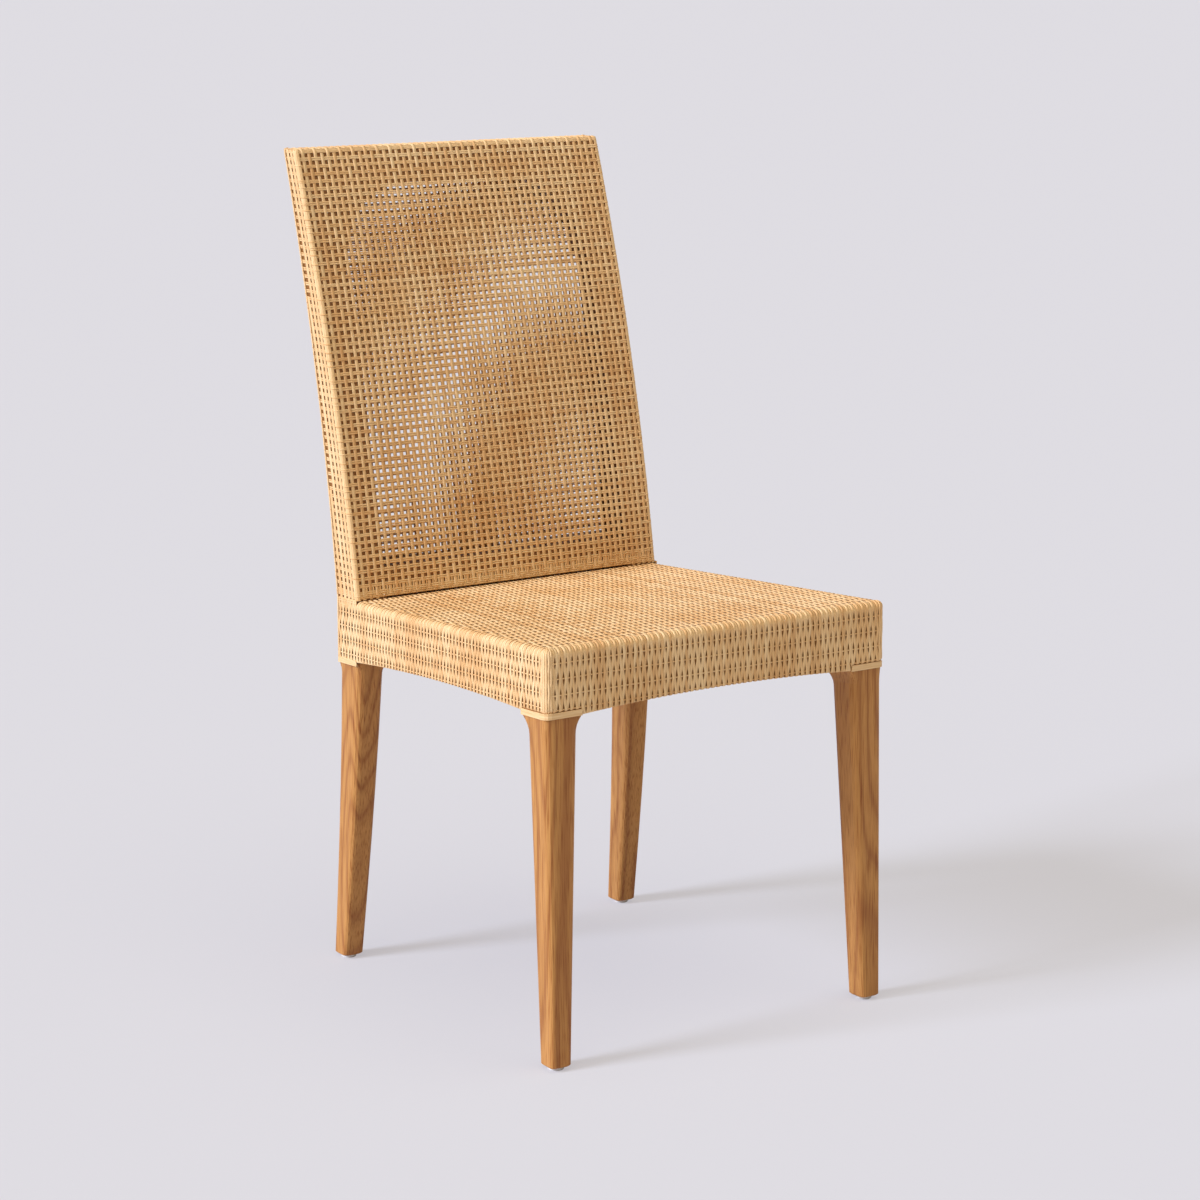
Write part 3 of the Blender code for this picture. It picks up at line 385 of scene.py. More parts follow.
STRAND_STEP = 0.00362
LATTICE_WIDTH = 0.0037
LATTICE_SHIFT = 0.00094
TOP_WIDTH = 0.0039
LATTICE_WANDER = 0.00022  # how far a strand lies from its regular place, at most
LATTICE_SLIP = 0.06  # how far its weave slips along it, in rows, at most
LATTICE_SPREAD = (0.94, 1.05)
LATTICE_PINCH = 1.5  # how suddenly the strands close up at a row
LATTICE_DEPTHS = (-0.00055, -0.00075)  # on the aprons and on the seat's top
LATTICE_SWINGS = (0.00042, 0.00065)  # how far strands rise and fall there
DEPTH_CHANGE = 0.012  # height past the edge over which the second takes over
CROSS_WIDTH = 0.0016
CROSS_WANDER = 0.0003
CROSS_LIFT = -0.00085
TOP_CROSS_LIFT = -0.0013
POST_CROSS_LIFT = -0.0006
FRONT_CROSS_REACH = 0.008  # how far they run on past the last strand, under the corner's
SIDE_CROSS_REACH = 0.004
TOP_CROSS_REACH = 0.0005
EDGE_FILL = [0.0020, 0.0045, 0.0070, 0.0095, 0.0120]  # rows under the strands round the edge
EDGE_WIDTH = 0.0028
EDGE_LIFT = -0.0017
# Painted shade: a darker tone for the strands under the edge, so the gaps there show brown.
EDGE_SHADE_TONE = -0.3
EDGE_MIDDLE = 0.0075  # height past the wall where the strands lie closest round the edge
EDGE_REACH = 0.010
EDGE_CALM = 0.8  # by how much they swing less there
SIDE_ROWS = [0.3917, 0.4083, 0.4247, 0.4415, 0.4580]
FRONT_ROWS = [0.3875, 0.4045, 0.4212, 0.4387, 0.4562]
SIDE_EDGE_ROWS = [0.4745, 0.4910]
FRONT_EDGE_ROWS = [0.4737]
TOP_ROW_START = 0.4912
TOP_ROW_STEP = 0.0150
TOP_ROW_COUNT = 32
POST_ROW_DROPS = (0.007, 0.003, 0)  # of the close rows beside a back post
POST_ROW_TOP = 0.001  # how far below the joint the highest of them lies
WALL_STEPS = 8  # stations from one row to the next
TOP_STEPS = 4
SIDE_LAP = 0.0030  # how far the sides' strands run on to the seat's top
POST_GAP = 0.003  # between the back's posts and strands that end beside them
POST_MARGIN = 0.001  # how far in front of a post the straight strands start
REAR_GAP = 0.001  # between the seat's strands and its rear edge
REAR_LAP = 0.0015  # how far the rear apron's strands run up behind the posts' cane
REAR_TOP_GAP = 0.002  # between them and the seat's top

# Broad flat strands under the seat's top
UNDERLAY_WIDTH = 0.0052
UNDERLAY_OVERLAP = 1.1
UNDERLAY_LIFT = -0.0020
UNDERLAY_THICKNESS = 0.0003
# Painted shade: the underlay's dark tone stands for the shade under the seat's cane.
UNDERLAY_SHADE_TONE = -0.7  # darker than any strand that shows
UNDERLAY_INSET = 0.001  # from the seat's straight edges
UNDERLAY_REAR_GAP = 0.003
UNDERLAY_POST_GAP = 0.004
UNDERLAY_STEP = 0.03  # between stations

# Strands side by side round the seat's front corners
CORNER_STRANDS = 5
CORNER_FILL = 0.94  # a strand's share of its room
CORNER_THICKNESS = 0.0012
CORNER_LIFT = -0.00025
CORNER_SWING = 0.00018  # how far they rise and fall
CORNER_SHIFT = 0.00022  # how far they waver to either side
CORNER_TONES = (0.3, 1)
CORNER_STEP = 0.004  # between stations; half as much round the edge


def new_traits():
    """A lattice strand's own place, slip along itself, tone and width."""
    return (
        around(LATTICE_WANDER), around(LATTICE_SLIP), chance.random(),
        chance.uniform(*LATTICE_SPREAD),
    )


def lattice_strand(
    bm, cloth, index, place, stations, rows, traits, mirrored=False, width=LATTICE_WIDTH,
    crown=CROWN,
):
    """One strand, which swings to one neighbour and over it, then to the other and under it."""
    turn = 1 if index % 2 else -1
    wander, slip, tone, swell = traits

    def swing(station):
        wave = math.cos(math.pi * (phase_at(station, rows) + slip))
        calm = EDGE_CALM * max(0, 1 - abs(station - wall_top - EDGE_MIDDLE) / EDGE_REACH)
        return turn * (1 - calm) * math.copysign(abs(wave) ** LATTICE_PINCH, wave)

    def lift_at(station):
        share = min(1, max(0, (station - wall_top) / DEPTH_CHANGE))
        depth, rise = (
            first + (second - first) * share for first, second in (LATTICE_DEPTHS, LATTICE_SWINGS)
        )
        return depth + (-rise if mirrored else rise) * swing(station)

    lay(
        bm, cloth, True, place + wander, stations, width, lift_at,
        lambda station: LATTICE_SHIFT * swing(station), tone, swell, crown,
    )


def column_stations(low, high, rows, each):
    """Stations through a column, with the same count between every two rows."""
    found = [low, high]
    for start, end in zip(rows, rows[1:]):
        for step in range(each):
            place = start + (end - start) * step / each
            if low + STATION_MARGIN < place < high - STATION_MARGIN:
                found.append(place)
    if low < rows[-1] < high:
        found.append(rows[-1])
    return sorted(found)


def from_lip(low, high, rows):
    """Stations from under the rail, round its lower edge and up the wall."""
    under = [low - LIP, low - LIP_MIDDLE, low, low + STATION_MARGIN]
    return under + column_stations(low + TURN_RADIUS, high, rows, WALL_STEPS)


def wall_stations(x, y, on_front, high, rows):
    """Stations from the lip under the rail, or from the trim on a leg."""
    low = lower_edge(x, y, on_front)
    if low == TRIM_TOP:
        return column_stations(TRIM_TOP - BEHIND_TRIM, high, rows, WALL_STEPS)
    return from_lip(low, high, rows)


top_start = wall_top + seat_arc
top_inner_end = top_start + SEAT_DEPTH - SEAT_RADIUS - REAR_GAP
top_outer_end = top_start + SEAT_DEPTH - SEAT_RADIUS - BACK_BASE_THICKNESS - END_GAP
POST_JOINT = SEAT_HEIGHT + 0.0008  # where the back's sides take over from the aprons
top_rows = [TOP_ROW_START + TOP_ROW_STEP * count for count in range(TOP_ROW_COUNT)]
all_front_rows = FRONT_ROWS + FRONT_EDGE_ROWS + top_rows


def lay_cross(bm, cloth, low, high, row, lift=CROSS_LIFT, width=CROSS_WIDTH, tone=None):
    """A thin strand across the others, which shows only where they stand apart."""
    wander = around(CROSS_WANDER)
    stations = spaced(low, high, 2 * STRAND_STEP)
    lay(bm, cloth, False, row + wander, stations, width, lift, tone=tone)


def lay_edge_fill(bm, low, high):
    """Broader strands that close the gaps under those which bend over the seat's edge."""
    # Their darker tone is painted shade in the gaps.
    for rise in EDGE_FILL:
        lay_cross(bm, seat_cloth, low, high, wall_top + rise, EDGE_LIFT, EDGE_WIDTH, EDGE_SHADE_TONE)


def make_front_and_top(material):
    """Strands that climb the front apron and run on over the seat to its back."""
    reach = front_straight - CORNER_REACH + SEAT_RADIUS
    places = middles(-reach, reach, STRAND_STEP)
    traits = [new_traits() for _ in places]
    apron = new_weave()
    for index, place in enumerate(places):
        stations = wall_stations(place, seat_front_y, True, wall_top, all_front_rows)
        lattice_strand(apron, seat_cloth, index, place, stations, all_front_rows, traits[index])
    across = reach + FRONT_CROSS_REACH
    for row in FRONT_ROWS:
        lay_cross(apron, seat_cloth, -across, across, row)
    finish_weave("front_apron_weave", apron, material, "front_apron_cane")

    half = len(places) // 2
    for name, own in (("left", range(half)), ("right", range(half, len(places)))):
        top = new_weave()
        for index in own:
            inner = abs(places[index] * taper_at(seat_rear_y)) < post_inner_x - POST_GAP
            end = top_inner_end if inner else top_outer_end
            stations = column_stations(wall_top, end, all_front_rows, TOP_STEPS)
            lattice_strand(
                top, seat_cloth, index, places[index], stations, all_front_rows, traits[index],
                width=TOP_WIDTH, crown=TOP_CROWN,
            )
        finish_weave(f"seat_top_{name}_weave", top, material, "seat_top_cane")
    cross = new_weave()
    across = reach + TOP_CROSS_REACH
    for row in FRONT_EDGE_ROWS + top_rows:
        if row < top_outer_end:
            lay_cross(cross, seat_cloth, -across, across, row, TOP_CROSS_LIFT)
    lay_edge_fill(cross, -reach, reach)
    finish_weave("seat_top_cross_weave", cross, material, "seat_top_cane")


def make_seat_underlay(material):
    """Broad flat strands, close together, that carry the seat's cane, darkened as painted shade.
    """
    bm = new_weave()
    front, rear = top_start + UNDERLAY_INSET, top_inner_end - UNDERLAY_REAR_GAP
    for row in spaced(front, rear, UNDERLAY_WIDTH):
        reach = front_straight - UNDERLAY_INSET
        if row > top_outer_end - UNDERLAY_WIDTH / 2:
            reach = post_inner_x / taper_at(seat_rear_y) - UNDERLAY_POST_GAP
        lay(
            bm, seat_cloth, False, row, spaced(-reach, reach, UNDERLAY_STEP),
            UNDERLAY_WIDTH * UNDERLAY_OVERLAP, UNDERLAY_LIFT, tone=UNDERLAY_SHADE_TONE,
        )
    finish_weave(
        "seat_top_underlay", bm, material, "seat_top_cane", thickness=UNDERLAY_THICKNESS,
    )


def make_sides(material):
    """The side aprons, whose strands bend over the seat's edge, or climb beside a back post."""
    first = corner_end + CORNER_REACH - SEAT_RADIUS
    last = corner_end + SEAT_DEPTH - SEAT_RADIUS - STRIP_REACH
    post_start = corner_end + SEAT_DEPTH - SEAT_RADIUS - BACK_BASE_THICKNESS
    rows = SIDE_ROWS + SIDE_EDGE_ROWS
    for side, name in SIDES:
        bm = new_weave()
        for index, place in enumerate(middles(first, last, STRAND_STEP)):
            y = seat_front_y + SEAT_RADIUS + place - front_straight - seat_arc
            by_post = place > post_start - POST_MARGIN
            high = POST_JOINT if by_post else top_start + SIDE_LAP
            stations = wall_stations(SEAT_HALF_WIDTH, y, False, high, rows)
            cloth = post_cloth if by_post else seat_cloth
            lattice_strand(bm, cloth, index, side * place, stations, rows, new_traits(), side < 0)
        ends = sorted((side * (first - SIDE_CROSS_REACH), side * last))
        for row in SIDE_ROWS:
            lay_cross(bm, seat_cloth, *ends, row)
        ends = sorted((side * post_start, side * last))
        post_rows = [SIDE_EDGE_ROWS[0] - drop for drop in POST_ROW_DROPS]
        for row in post_rows + [POST_JOINT - POST_ROW_TOP]:
            lay_cross(bm, post_cloth, *ends, row, POST_CROSS_LIFT)
        lay_edge_fill(bm, *sorted((side * first, side * (post_start - POST_GAP))))
        finish_weave(f"{name}_apron_weave", bm, material, f"{name}_apron_cane")


def make_front_corners(material):
    """Strands side by side round each front corner, which waver and hardly part."""
    flat = CORNER_REACH - SEAT_RADIUS
    strand = (seat_arc + 2 * flat) / CORNER_STRANDS
    for side, name in SIDES:
        bm = new_weave()
        for index in range(CORNER_STRANDS):
            place = front_straight - flat + strand * (index + 0.5)
            turn = 1 if index % 2 else -1
            stations = spaced(TRIM_TOP - BEHIND_TRIM, wall_top, CORNER_STEP)
            stations += spaced(wall_top, top_start, CORNER_STEP / 2)[1:]

            def swing(station):
                return turn * math.cos(math.pi * phase_at(station, SIDE_ROWS))

            lay(
                bm, seat_cloth, True, side * place, stations, strand * CORNER_FILL,
                lambda station: CORNER_LIFT + CORNER_SWING * swing(station),
                lambda station: CORNER_SHIFT * swing(station), chance.uniform(*CORNER_TONES),
            )
        finish_weave(
            f"front_{name}_seat_corner_strands", bm, material, f"front_{name}_seat_corner_cane",
            slot_name="smooth_cane", thickness=CORNER_THICKNESS,
        )


def make_rear_apron(material):
    """The apron behind the seat, which runs up to the back's cane over the posts."""
    reach = BACK_HALF_WIDTH / taper_at(seat_rear_y) - STRIP_REACH
    top = rear_panel_foot + SEAT_DROP + REAR_LAP
    inner = post_inner_x / taper_at(seat_rear_y)
    bm = new_weave()
    for index, place in enumerate(middles(-reach, reach, STRAND_STEP)):
        if abs(place) > inner:
            stations = column_stations(TRIM_TOP - BEHIND_TRIM, top, FRONT_ROWS, WALL_STEPS)
        else:
            low = APRON_BOTTOM + FRONT_ARCH_RISE * arch_height(place / inner)
            stations = from_lip(low, SEAT_HEIGHT - REAR_TOP_GAP, FRONT_ROWS)
        lattice_strand(bm, rear_cloth, index, place, stations, FRONT_ROWS, new_traits())
    for row in FRONT_ROWS:
        lay_cross(bm, rear_cloth, -reach, reach, row)
    finish_weave("rear_apron_weave", bm, material, "rear_apron_cane")


# Open cane of the back: single uprights over pairs of cross strands, backed by a second upright

UPRIGHT_COUNT = 49
UPRIGHT_REACH = 0.2043
UPRIGHT_WIDTH = 0.0045
UPRIGHT_WANDER = 0.0004
BACKING_WIDTH = 0.0030
BACKING_LIFT = -0.00140
PAIR_WIDTH = 0.0020
PAIR_SPREAD = 0.00106  # from a pair's middle to either strand
PAIR_WANDER = 0.0002
PAIR_TONES = 0.2  # how much darker or paler a strand is than its pair
PAIR_END_GAP = 0.0002  # between its ends and the strips at the corners
ROW_TOP = 0.9672
ROW_STEP = 0.00847
ROW_COUNT = 61
LAST_ROW_DROP = 0.0003  # of one more row, at the foot of the opening's frame
FRONT_ROW_TILT = 0.004  # rise of the front's rows to the right
FRONT_EASES = (0.12, 0.12)  # heights at the foot and top where rows grow regular
REAR_EASES = (0.05, 0.03)
REAR_BULGE_POWER = 0.25  # how soon the rear uprights stray, from the sides
# How far the rear's rows and uprights stray from their regular places, as powers of the place and
# of the height above a middle one. Where both sheets' holes meet, light comes through the back.
STRAY_HEIGHT = 0.70
REAR_ROW_STRAY = {
    (0, 0): 0.00254, (0, 1): -0.01113, (0, 2): -0.06778, (0, 3): 0.2605, (1, 0): 0.03385,
    (1, 1): -0.07564, (1, 2): -0.0867, (2, 0): 0.02773, (2, 1): 0.2615, (3, 0): -0.6415,
}
REAR_UPRIGHT_STRAY = {
    (0, 0): -0.00442, (0, 1): 0.00227, (0, 2): 0.0479, (1, 0): -0.0100, (1, 1): -0.0407,
    (2, 0): 0.0267,
}
UPRIGHT_DRIFT = 0.010  # how far the middle uprights lean to the right, at the foot
WEAVE_DEPTH = -0.00057
WEAVE_SWING = 0.00025  # how far a strand rises over the others and dips under them
FOOT_STRAND_WIDTH = 0.0024
FOOT_STRAND_LIFT = -0.0006
FOOT_STRAND_STEP = 0.003
FOOT_STRAND_TOP = 0.0008  # how far their upper ends lie below a row
FOOT_CORNER = 0.012  # width beside a post where they end on the seat
FOOT_MARGIN = 0.001  # least height of a station above an upright's foot
PANEL_DROP = 0.0018  # how far the cane hangs below its frame before it turns in
TURN_SHARES = (0.8, 1.6)  # of the turn's radius, where its stations lie
TURN_PAST_POST = 0.004  # how far past a post's edge the cane still turns in
BEND_STEPS = 4
back_rows = [ROW_TOP - ROW_STEP * count for count in range(ROW_COUNT)]
all_back_rows = back_rows + [panel_bottom - LAST_ROW_DROP]
row_falls = [TOTAL_HEIGHT - z for z in all_back_rows]
upright_places = [
    UPRIGHT_REACH * (2 * index / (UPRIGHT_COUNT - 1) - 1) for index in range(UPRIGHT_COUNT)
]


def stray(terms, place, z):
    up = z - STRAY_HEIGHT
    return sum(share * place ** first * up ** second for (first, second), share in terms.items())


def row_rise(z, place, facing):
    """How much higher a row runs at a place than its nominal height."""
    foot, eases = (all_back_rows[-1], REAR_EASES) if facing > 0 else (panel_bottom, FRONT_EASES)
    ease = min(1, max(0, z - foot) / eases[0], (TOTAL_HEIGHT - z) / eases[1])
    return ease * (stray(REAR_ROW_STRAY, place, z) if facing > 0 else FRONT_ROW_TILT * place)


def height_of(way):
    return TOTAL_HEIGHT - BACK_RADIUS - (abs(way) - half_top - back_arc)


def upright_stations(place, facing, each):
    """Stations down one face of the back, from the top edge to the seat or under the rail."""
    on_rail = abs(place) <= post_inner_x
    bottom = seat_at_back + END_GAP if facing < 0 else rear_panel_foot
    if on_rail:
        bottom = panel_bottom - PANEL_DROP
    heights = [ROW_TOP + ROW_STEP / 2]
    for upper, lower in zip(all_back_rows, all_back_rows[1:]):
        heights += [upper + (lower - upper) * step / each for step in range(each)]
    heights.append(all_back_rows[-1])
    shown = [z + row_rise(z, place, facing) for z in heights]
    found = [way_at(z, facing) for z in shown if z > bottom + FOOT_MARGIN]
    found.append(way_at(bottom, facing))
    if on_rail:
        foot = abs(found[-1])
        found += [facing * (foot + TURN_RADIUS * share) for share in TURN_SHARES]
        found.append(facing * (foot + UNDER_LIP))
    return found


def upright_shift(place, way):
    """How far an upright wanders to the right, by its way along the back's profile."""
    bulge = math.sin(math.pi * (place + BACK_HALF_WIDTH) / (2 * BACK_HALF_WIDTH))
    fall = max(0, abs(way) - half_top - back_arc) / (TOTAL_HEIGHT - panel_bottom)
    over = min(1, max(0, (way + half_top) / (2 * half_top)))
    rear = stray(REAR_UPRIGHT_STRAY, place, height_of(way)) * bulge ** REAR_BULGE_POWER
    return UPRIGHT_DRIFT * bulge * fall + rear * over


def upright_swing(index, place, way):
    """From 1, over the cross strands, to -1, under them. Over the top edge it stays over."""
    facing = 1 if way > 0 else -1
    z = height_of(way)
    phase = phase_at(TOTAL_HEIGHT - z + row_rise(z, place, facing), row_falls)
    if phase < -1:
        return 1
    if phase < 0:
        return 1 if index % 2 == 0 else -math.cos(math.pi * phase)
    return math.cos(math.pi * (phase + index))


def make_uprights(material):
    """Uprights that climb the front, bend over the top edge, and go down the rear."""
    bend = [back_arc * step / BEND_STEPS for step in range(BEND_STEPS + 1)]
    over_top = [way_at(TOTAL_HEIGHT - BACK_RADIUS, -1) + way for way in bend]
    over_top += [-half_top / 2, 0, half_top / 2]
    over_top += [half_top + way for way in bend]

    def cloth(place, way, lift):
        if abs(place) > post_inner_x + TURN_PAST_POST:
            return back_cloth(place, way, lift)
        return under_cloth(-1 if way < 0 else 1)(place, way, lift)

    for name, width, base, swing, each in (
        ("back_uprights", UPRIGHT_WIDTH, WEAVE_DEPTH, WEAVE_SWING, 2),
        ("back_backing_uprights", BACKING_WIDTH, BACKING_LIFT, 0, 1),
    ):
        bm = new_weave()
        for index, place in enumerate(upright_places):
            wander = around(UPRIGHT_WANDER)
            ways = [way_at(panel_bottom, facing) for facing in (-1, 1)]
            feet = [place + upright_shift(place, way) for way in ways]
            stations = sorted(upright_stations(feet[0], -1, each))
            stations += [way for way in over_top if stations[-1] < way]
            stations += [way for way in upright_stations(feet[1], 1, each) if way > stations[-1]]
            lay(
                bm, cloth, True, place + wander, stations, width,
                lambda way: base + swing * upright_swing(index, place, way),
                lambda way: upright_shift(place, way),
            )
        finish_weave(name, bm, material, "back_front_cane", "back_rear_cane", "back_top_edge_cane")


def make_foot_strands(material):
    """Short strands that fill the gaps between the uprights along the foot of the back."""
    for facing, name in FACINGS:
        bm = new_weave()
        cloth = under_cloth(facing)
        foot = way_at(panel_bottom - PANEL_DROP, facing)
        high = way_at(all_back_rows[-3] - FOOT_STRAND_TOP, facing)
        for low_place, high_place in zip(upright_places, upright_places[1:]):
            place = (low_place + high_place) / 2 + around(UPRIGHT_WANDER)
            on_rail = abs(place) < post_inner_x - FOOT_CORNER
            if not on_rail and facing > 0:
                continue
            end = foot if on_rail else way_at(seat_at_back + END_GAP, facing)
            stations = spaced(*sorted((high, end)), FOOT_STRAND_STEP)
            if on_rail:
                turned_in = [foot + facing * TURN_RADIUS, foot + facing * UNDER_LIP]
                stations = sorted(stations + turned_in)
            lay(
                bm, cloth, True, place + upright_shift(place, foot), stations,
                FOOT_STRAND_WIDTH, FOOT_STRAND_LIFT,
            )
        finish_weave(f"back_{name}_foot_strands", bm, material, f"back_{name}_cane")


def make_back_cross(material):
    """Pairs of strands across each face of the back."""
    reach = BACK_HALF_WIDTH - STRIP_REACH - PAIR_END_GAP
    for facing, name in FACINGS:
        bm = new_weave()
        for row, z in enumerate(all_back_rows):
            tone = chance.random()
            for which in (-1, 1):
                offset = around(PAIR_WANDER)
                way = way_at(z + which * PAIR_SPREAD + offset, facing)
                nodes = [place + upright_shift(place, way) for place in upright_places]
                stations = [-reach, *nodes, reach]
                stations += [(low + high) / 2 for low, high in zip(nodes, nodes[1:])]
                stations.sort()
                lifts = {
                    place: WEAVE_DEPTH - WEAVE_SWING * (-1) ** (row + index)
                    for index, place in enumerate(nodes)
                }
                own_tone = min(1, max(0, tone + around(PAIR_TONES)))
                lay(
                    bm, back_cloth, False, way, stations, PAIR_WIDTH,
                    lambda place: lifts.get(place, WEAVE_DEPTH),
                    lambda place: -facing * row_rise(z, place, facing), own_tone,
                )
        finish_weave(f"back_{name}_cross_strands", bm, material, f"back_{name}_cane")


# Strands that wrap the back's upright corners, over their smooth strips
WRAP_WIDTH = 0.0017
WRAP_THICKNESS = 0.0004
WRAP_LAP = 0.0012  # how far they run on over the faces beside a strip
WRAP_STEP = 0.0014
WRAP_LIFT = 0.00018
WRAP_END_LIFT = -0.0006
WRAP_SHARE = 0.75  # of the places for a wrap that have one
WRAP_WANDER = 0.0003

# The band of strips along the back's top edge
BAND_END_GAP = 0.0008
BAND_PAST_ROW = 0.0024  # how far above the highest row it starts
BAND_BEND = 0.001  # how far its level strips reach into the bends
BAND_WIDTH = 0.0036
BAND_TOP_WIDTH = 0.0042
BAND_OVERLAP = 1.02
BAND_LIFT = -0.00075
BAND_STEP = 0.02

# The sides of the back
SIDE_PLACES = (0.0108, 0.0190, 0.0280, 0.0370)  # of the uprights, behind the front face
SIDE_WIDTH = 0.0056
SIDE_END_GAP = 0.0020  # between an upright's end and the rear corner's strip
SIDE_DEPTH = -0.0003
SIDE_SWING = 0.0002
SIDE_FOOT_GAP = 0.0002
SIDE_CROSS_LIFT = -0.00065
SIDE_CROSS_STEP = 0.0043
LOW_ROW_STEP = 0.0042  # between the close rows at the foot
LOW_ROW_COUNT = 4
LOW_ROW_MARGIN = 0.002  # least height of a row above the foot
SIDE_MIDDLE = 0.025  # behind the front face


def corner_cloth(side, facing):
    """Round an upright corner of the back, from its side on to its face."""
    flat = STRIP_REACH - BACK_RADIUS

    def cloth(place, z, lift):
        past = abs(place) - flat
        turn = min(math.pi / 2, max(0, past / BACK_RADIUS))
        face = front_face(z) if facing < 0 else rear_face(z)
        x = BACK_HALF_WIDTH - BACK_RADIUS + (BACK_RADIUS + lift) * math.cos(turn)
        y = face - facing * BACK_RADIUS + facing * (BACK_RADIUS + lift) * math.sin(turn)
        return Vector((side * (x - max(0, past - back_arc)), y + facing * min(0, past), z))

    return cloth


def make_corner_wraps(material):
    """Cross strands that run on round the corners of the back, over their smooth strips."""
    length = 2 * (STRIP_REACH - BACK_RADIUS) + back_arc
    for facing, name in FACINGS:
        bm = new_weave()
        for side in (-1, 1):
            order = side * facing
            places = spaced(-WRAP_LAP, length + WRAP_LAP, WRAP_STEP)
            stations = sorted(order * place for place in places)
            ends = (abs(stations[0]), abs(stations[-1]))

            def lift_at(place):
                return WRAP_END_LIFT if abs(place) in ends else WRAP_LIFT

            for row, z in enumerate(all_back_rows[1:]):
                for which in (-1, 1):
                    if (row + which) % 3 and chance.random() < WRAP_SHARE:
                        level = z + which * PAIR_SPREAD + around(WRAP_WANDER)
                        level += row_rise(z, side * BACK_HALF_WIDTH, facing)
                        cloth = corner_cloth(side, facing)
                        lay(bm, cloth, False, level, stations, WRAP_WIDTH, lift_at)
        finish_weave(
            f"back_{name}_corner_wraps", bm, material, f"back_{name}_cane",
            thickness=WRAP_THICKNESS,
        )


def make_back_top(material):
    """A smooth band along the top edge, under the uprights that bend over it."""
    bm = new_weave()
    reach = BACK_HALF_WIDTH - BAND_END_GAP
    front_start, rear_end = (way_at(ROW_TOP + BAND_PAST_ROW, facing) for facing in (-1, 1))
    flat = half_top + BAND_BEND
    edges = spaced(front_start, -flat, BAND_WIDTH)
    edges += spaced(-flat, flat, BAND_TOP_WIDTH)[1:]
    edges += spaced(flat, rear_end, BAND_WIDTH)[1:]
    for low, high in zip(edges, edges[1:]):
        lay(
            bm, back_cloth, False, (low + high) / 2, spaced(-reach, reach, BAND_STEP),
            (high - low) * BAND_OVERLAP, BAND_LIFT,
        )
    finish_weave("back_top_band", bm, material, "back_top_edge_cane", slot_name="smooth_cane")


def side_foot(distance):
    """Height of the joint between the back's side and the apron, behind the back's front face."""
    z = back_base
    for _ in range(4):
        y = front_face(z) + distance
        z = POST_JOINT + SIDE_FOOT_GAP - seat_slope * (y - seat_front_y)
    return z


def make_back_sides(material):
    """The sides of the back: uprights over pairs of cross strands."""
    for side, name in SIDES:
        cloth = side_cloth(side)
        bm = new_weave()
        for distance in SIDE_PLACES:
            stations = []
            z = ROW_TOP + ROW_STEP / 4
            while z > side_foot(distance):
                if distance < thickness_at(z) - STRIP_REACH - SIDE_END_GAP:
                    stations.append(z)
                z -= ROW_STEP / 2
            stations.append(side_foot(distance))
            stations.reverse()

            def lift_at(station):
                wave = math.cos(2 * math.pi * (station - ROW_TOP) / ROW_STEP)
                return SIDE_DEPTH + SIDE_SWING * wave

            if len(stations) > 2:
                lay(bm, cloth, True, side * distance, stations, SIDE_WIDTH, lift_at)
        low_rows = [back_rows[-1] - LOW_ROW_STEP * (count + 1) for count in range(LOW_ROW_COUNT)]
        for z in back_rows + low_rows:
            if z < side_foot(SIDE_MIDDLE) + LOW_ROW_MARGIN:
                continue
            ends = sorted((side * STRIP_REACH, side * (thickness_at(z) - STRIP_REACH)))
            for which in (-1, 1):
                lay(
                    bm, cloth, False, z + which * PAIR_SPREAD, spaced(*ends, SIDE_CROSS_STEP),
                    PAIR_WIDTH, SIDE_CROSS_LIFT,
                )
        finish_weave(f"back_{name}_side_weave", bm, material, f"back_{name}_edge_cane")


# Materials

BUMP_DISTANCE = 0.0002
RING_PITCH = 160  # of the teak's rings, in radians to the metre
RING_WAVER = 95  # how far they wander, in radians
PAINTED_SHADE_FADE = (0.0015, 0.0030)  # heights above the cane's lower edge where the teak fades into painted shade


def hex_colour(text):
    """From sRGB hex to linear light."""
    values = [int(text[index:index + 2], 16) / 255 for index in (0, 2, 4)]
    linear = [v / 12.92 if v <= 0.04045 else ((v + 0.055) / 1.055) ** 2.4 for v in values]
    return (*linear, 1)


def set_inputs(tree, node, inputs):
    """Give each input of a node a value, or link it to an output."""
    for name, value in inputs.items():
        if isinstance(value, bpy.types.NodeSocket):
            tree.links.new(value, node.inputs[name])
        else:
            node.inputs[name].default_value = value


def add_node(tree, kind, inputs=None, **settings):
    node = tree.nodes.new("ShaderNode" + kind)
    for name, value in settings.items():
        setattr(node, name, value)
    set_inputs(tree, node, inputs or {})
    return node


def ramp(tree, share, stops):
    """A colour that runs through the stops as the share grows."""
    node = add_node(tree, "ValToRGB", {"Fac": share})
    elements = node.color_ramp.elements
    while len(elements) < len(stops):
        elements.new(0.5)
    for element, (place, colour) in zip(elements, stops):
        element.position = place
        element.color = hex_colour(colour)
    return node.outputs["Color"]


def noise(tree, at, detail, scale=1, roughness=0.5):
    inputs = {"Vector": at, "Scale": scale, "Detail": detail, "Roughness": roughness}
    return add_node(tree, "TexNoise", inputs).outputs["Fac"]


def calculate(tree, operation, *values):
    return add_node(tree, "Math", dict(enumerate(values)), operation=operation).outputs[0]


def mix_colours(tree, share, first, second, blend='MIX'):
    inputs = {0: share, 6: first, 7: second}
    return add_node(tree, "Mix", inputs, data_type='RGBA', blend_type=blend).outputs[2]


def spread(tree, value, low=0, high=1, new_low=0, new_high=1):
    """A value between low and high, brought between the new ones."""
    limits = {"From Min": low, "From Max": high, "To Min": new_low, "To Max": new_high}
    return add_node(tree, "MapRange", {"Value": value, **limits}).outputs[0]


def bump(tree, height, strength):
    inputs = {"Height": height, "Strength": strength, "Distance": BUMP_DISTANCE}
    return add_node(tree, "Bump", inputs).outputs[0]


def own_place(tree):
    return add_node(tree, "TexCoord").outputs["Object"]


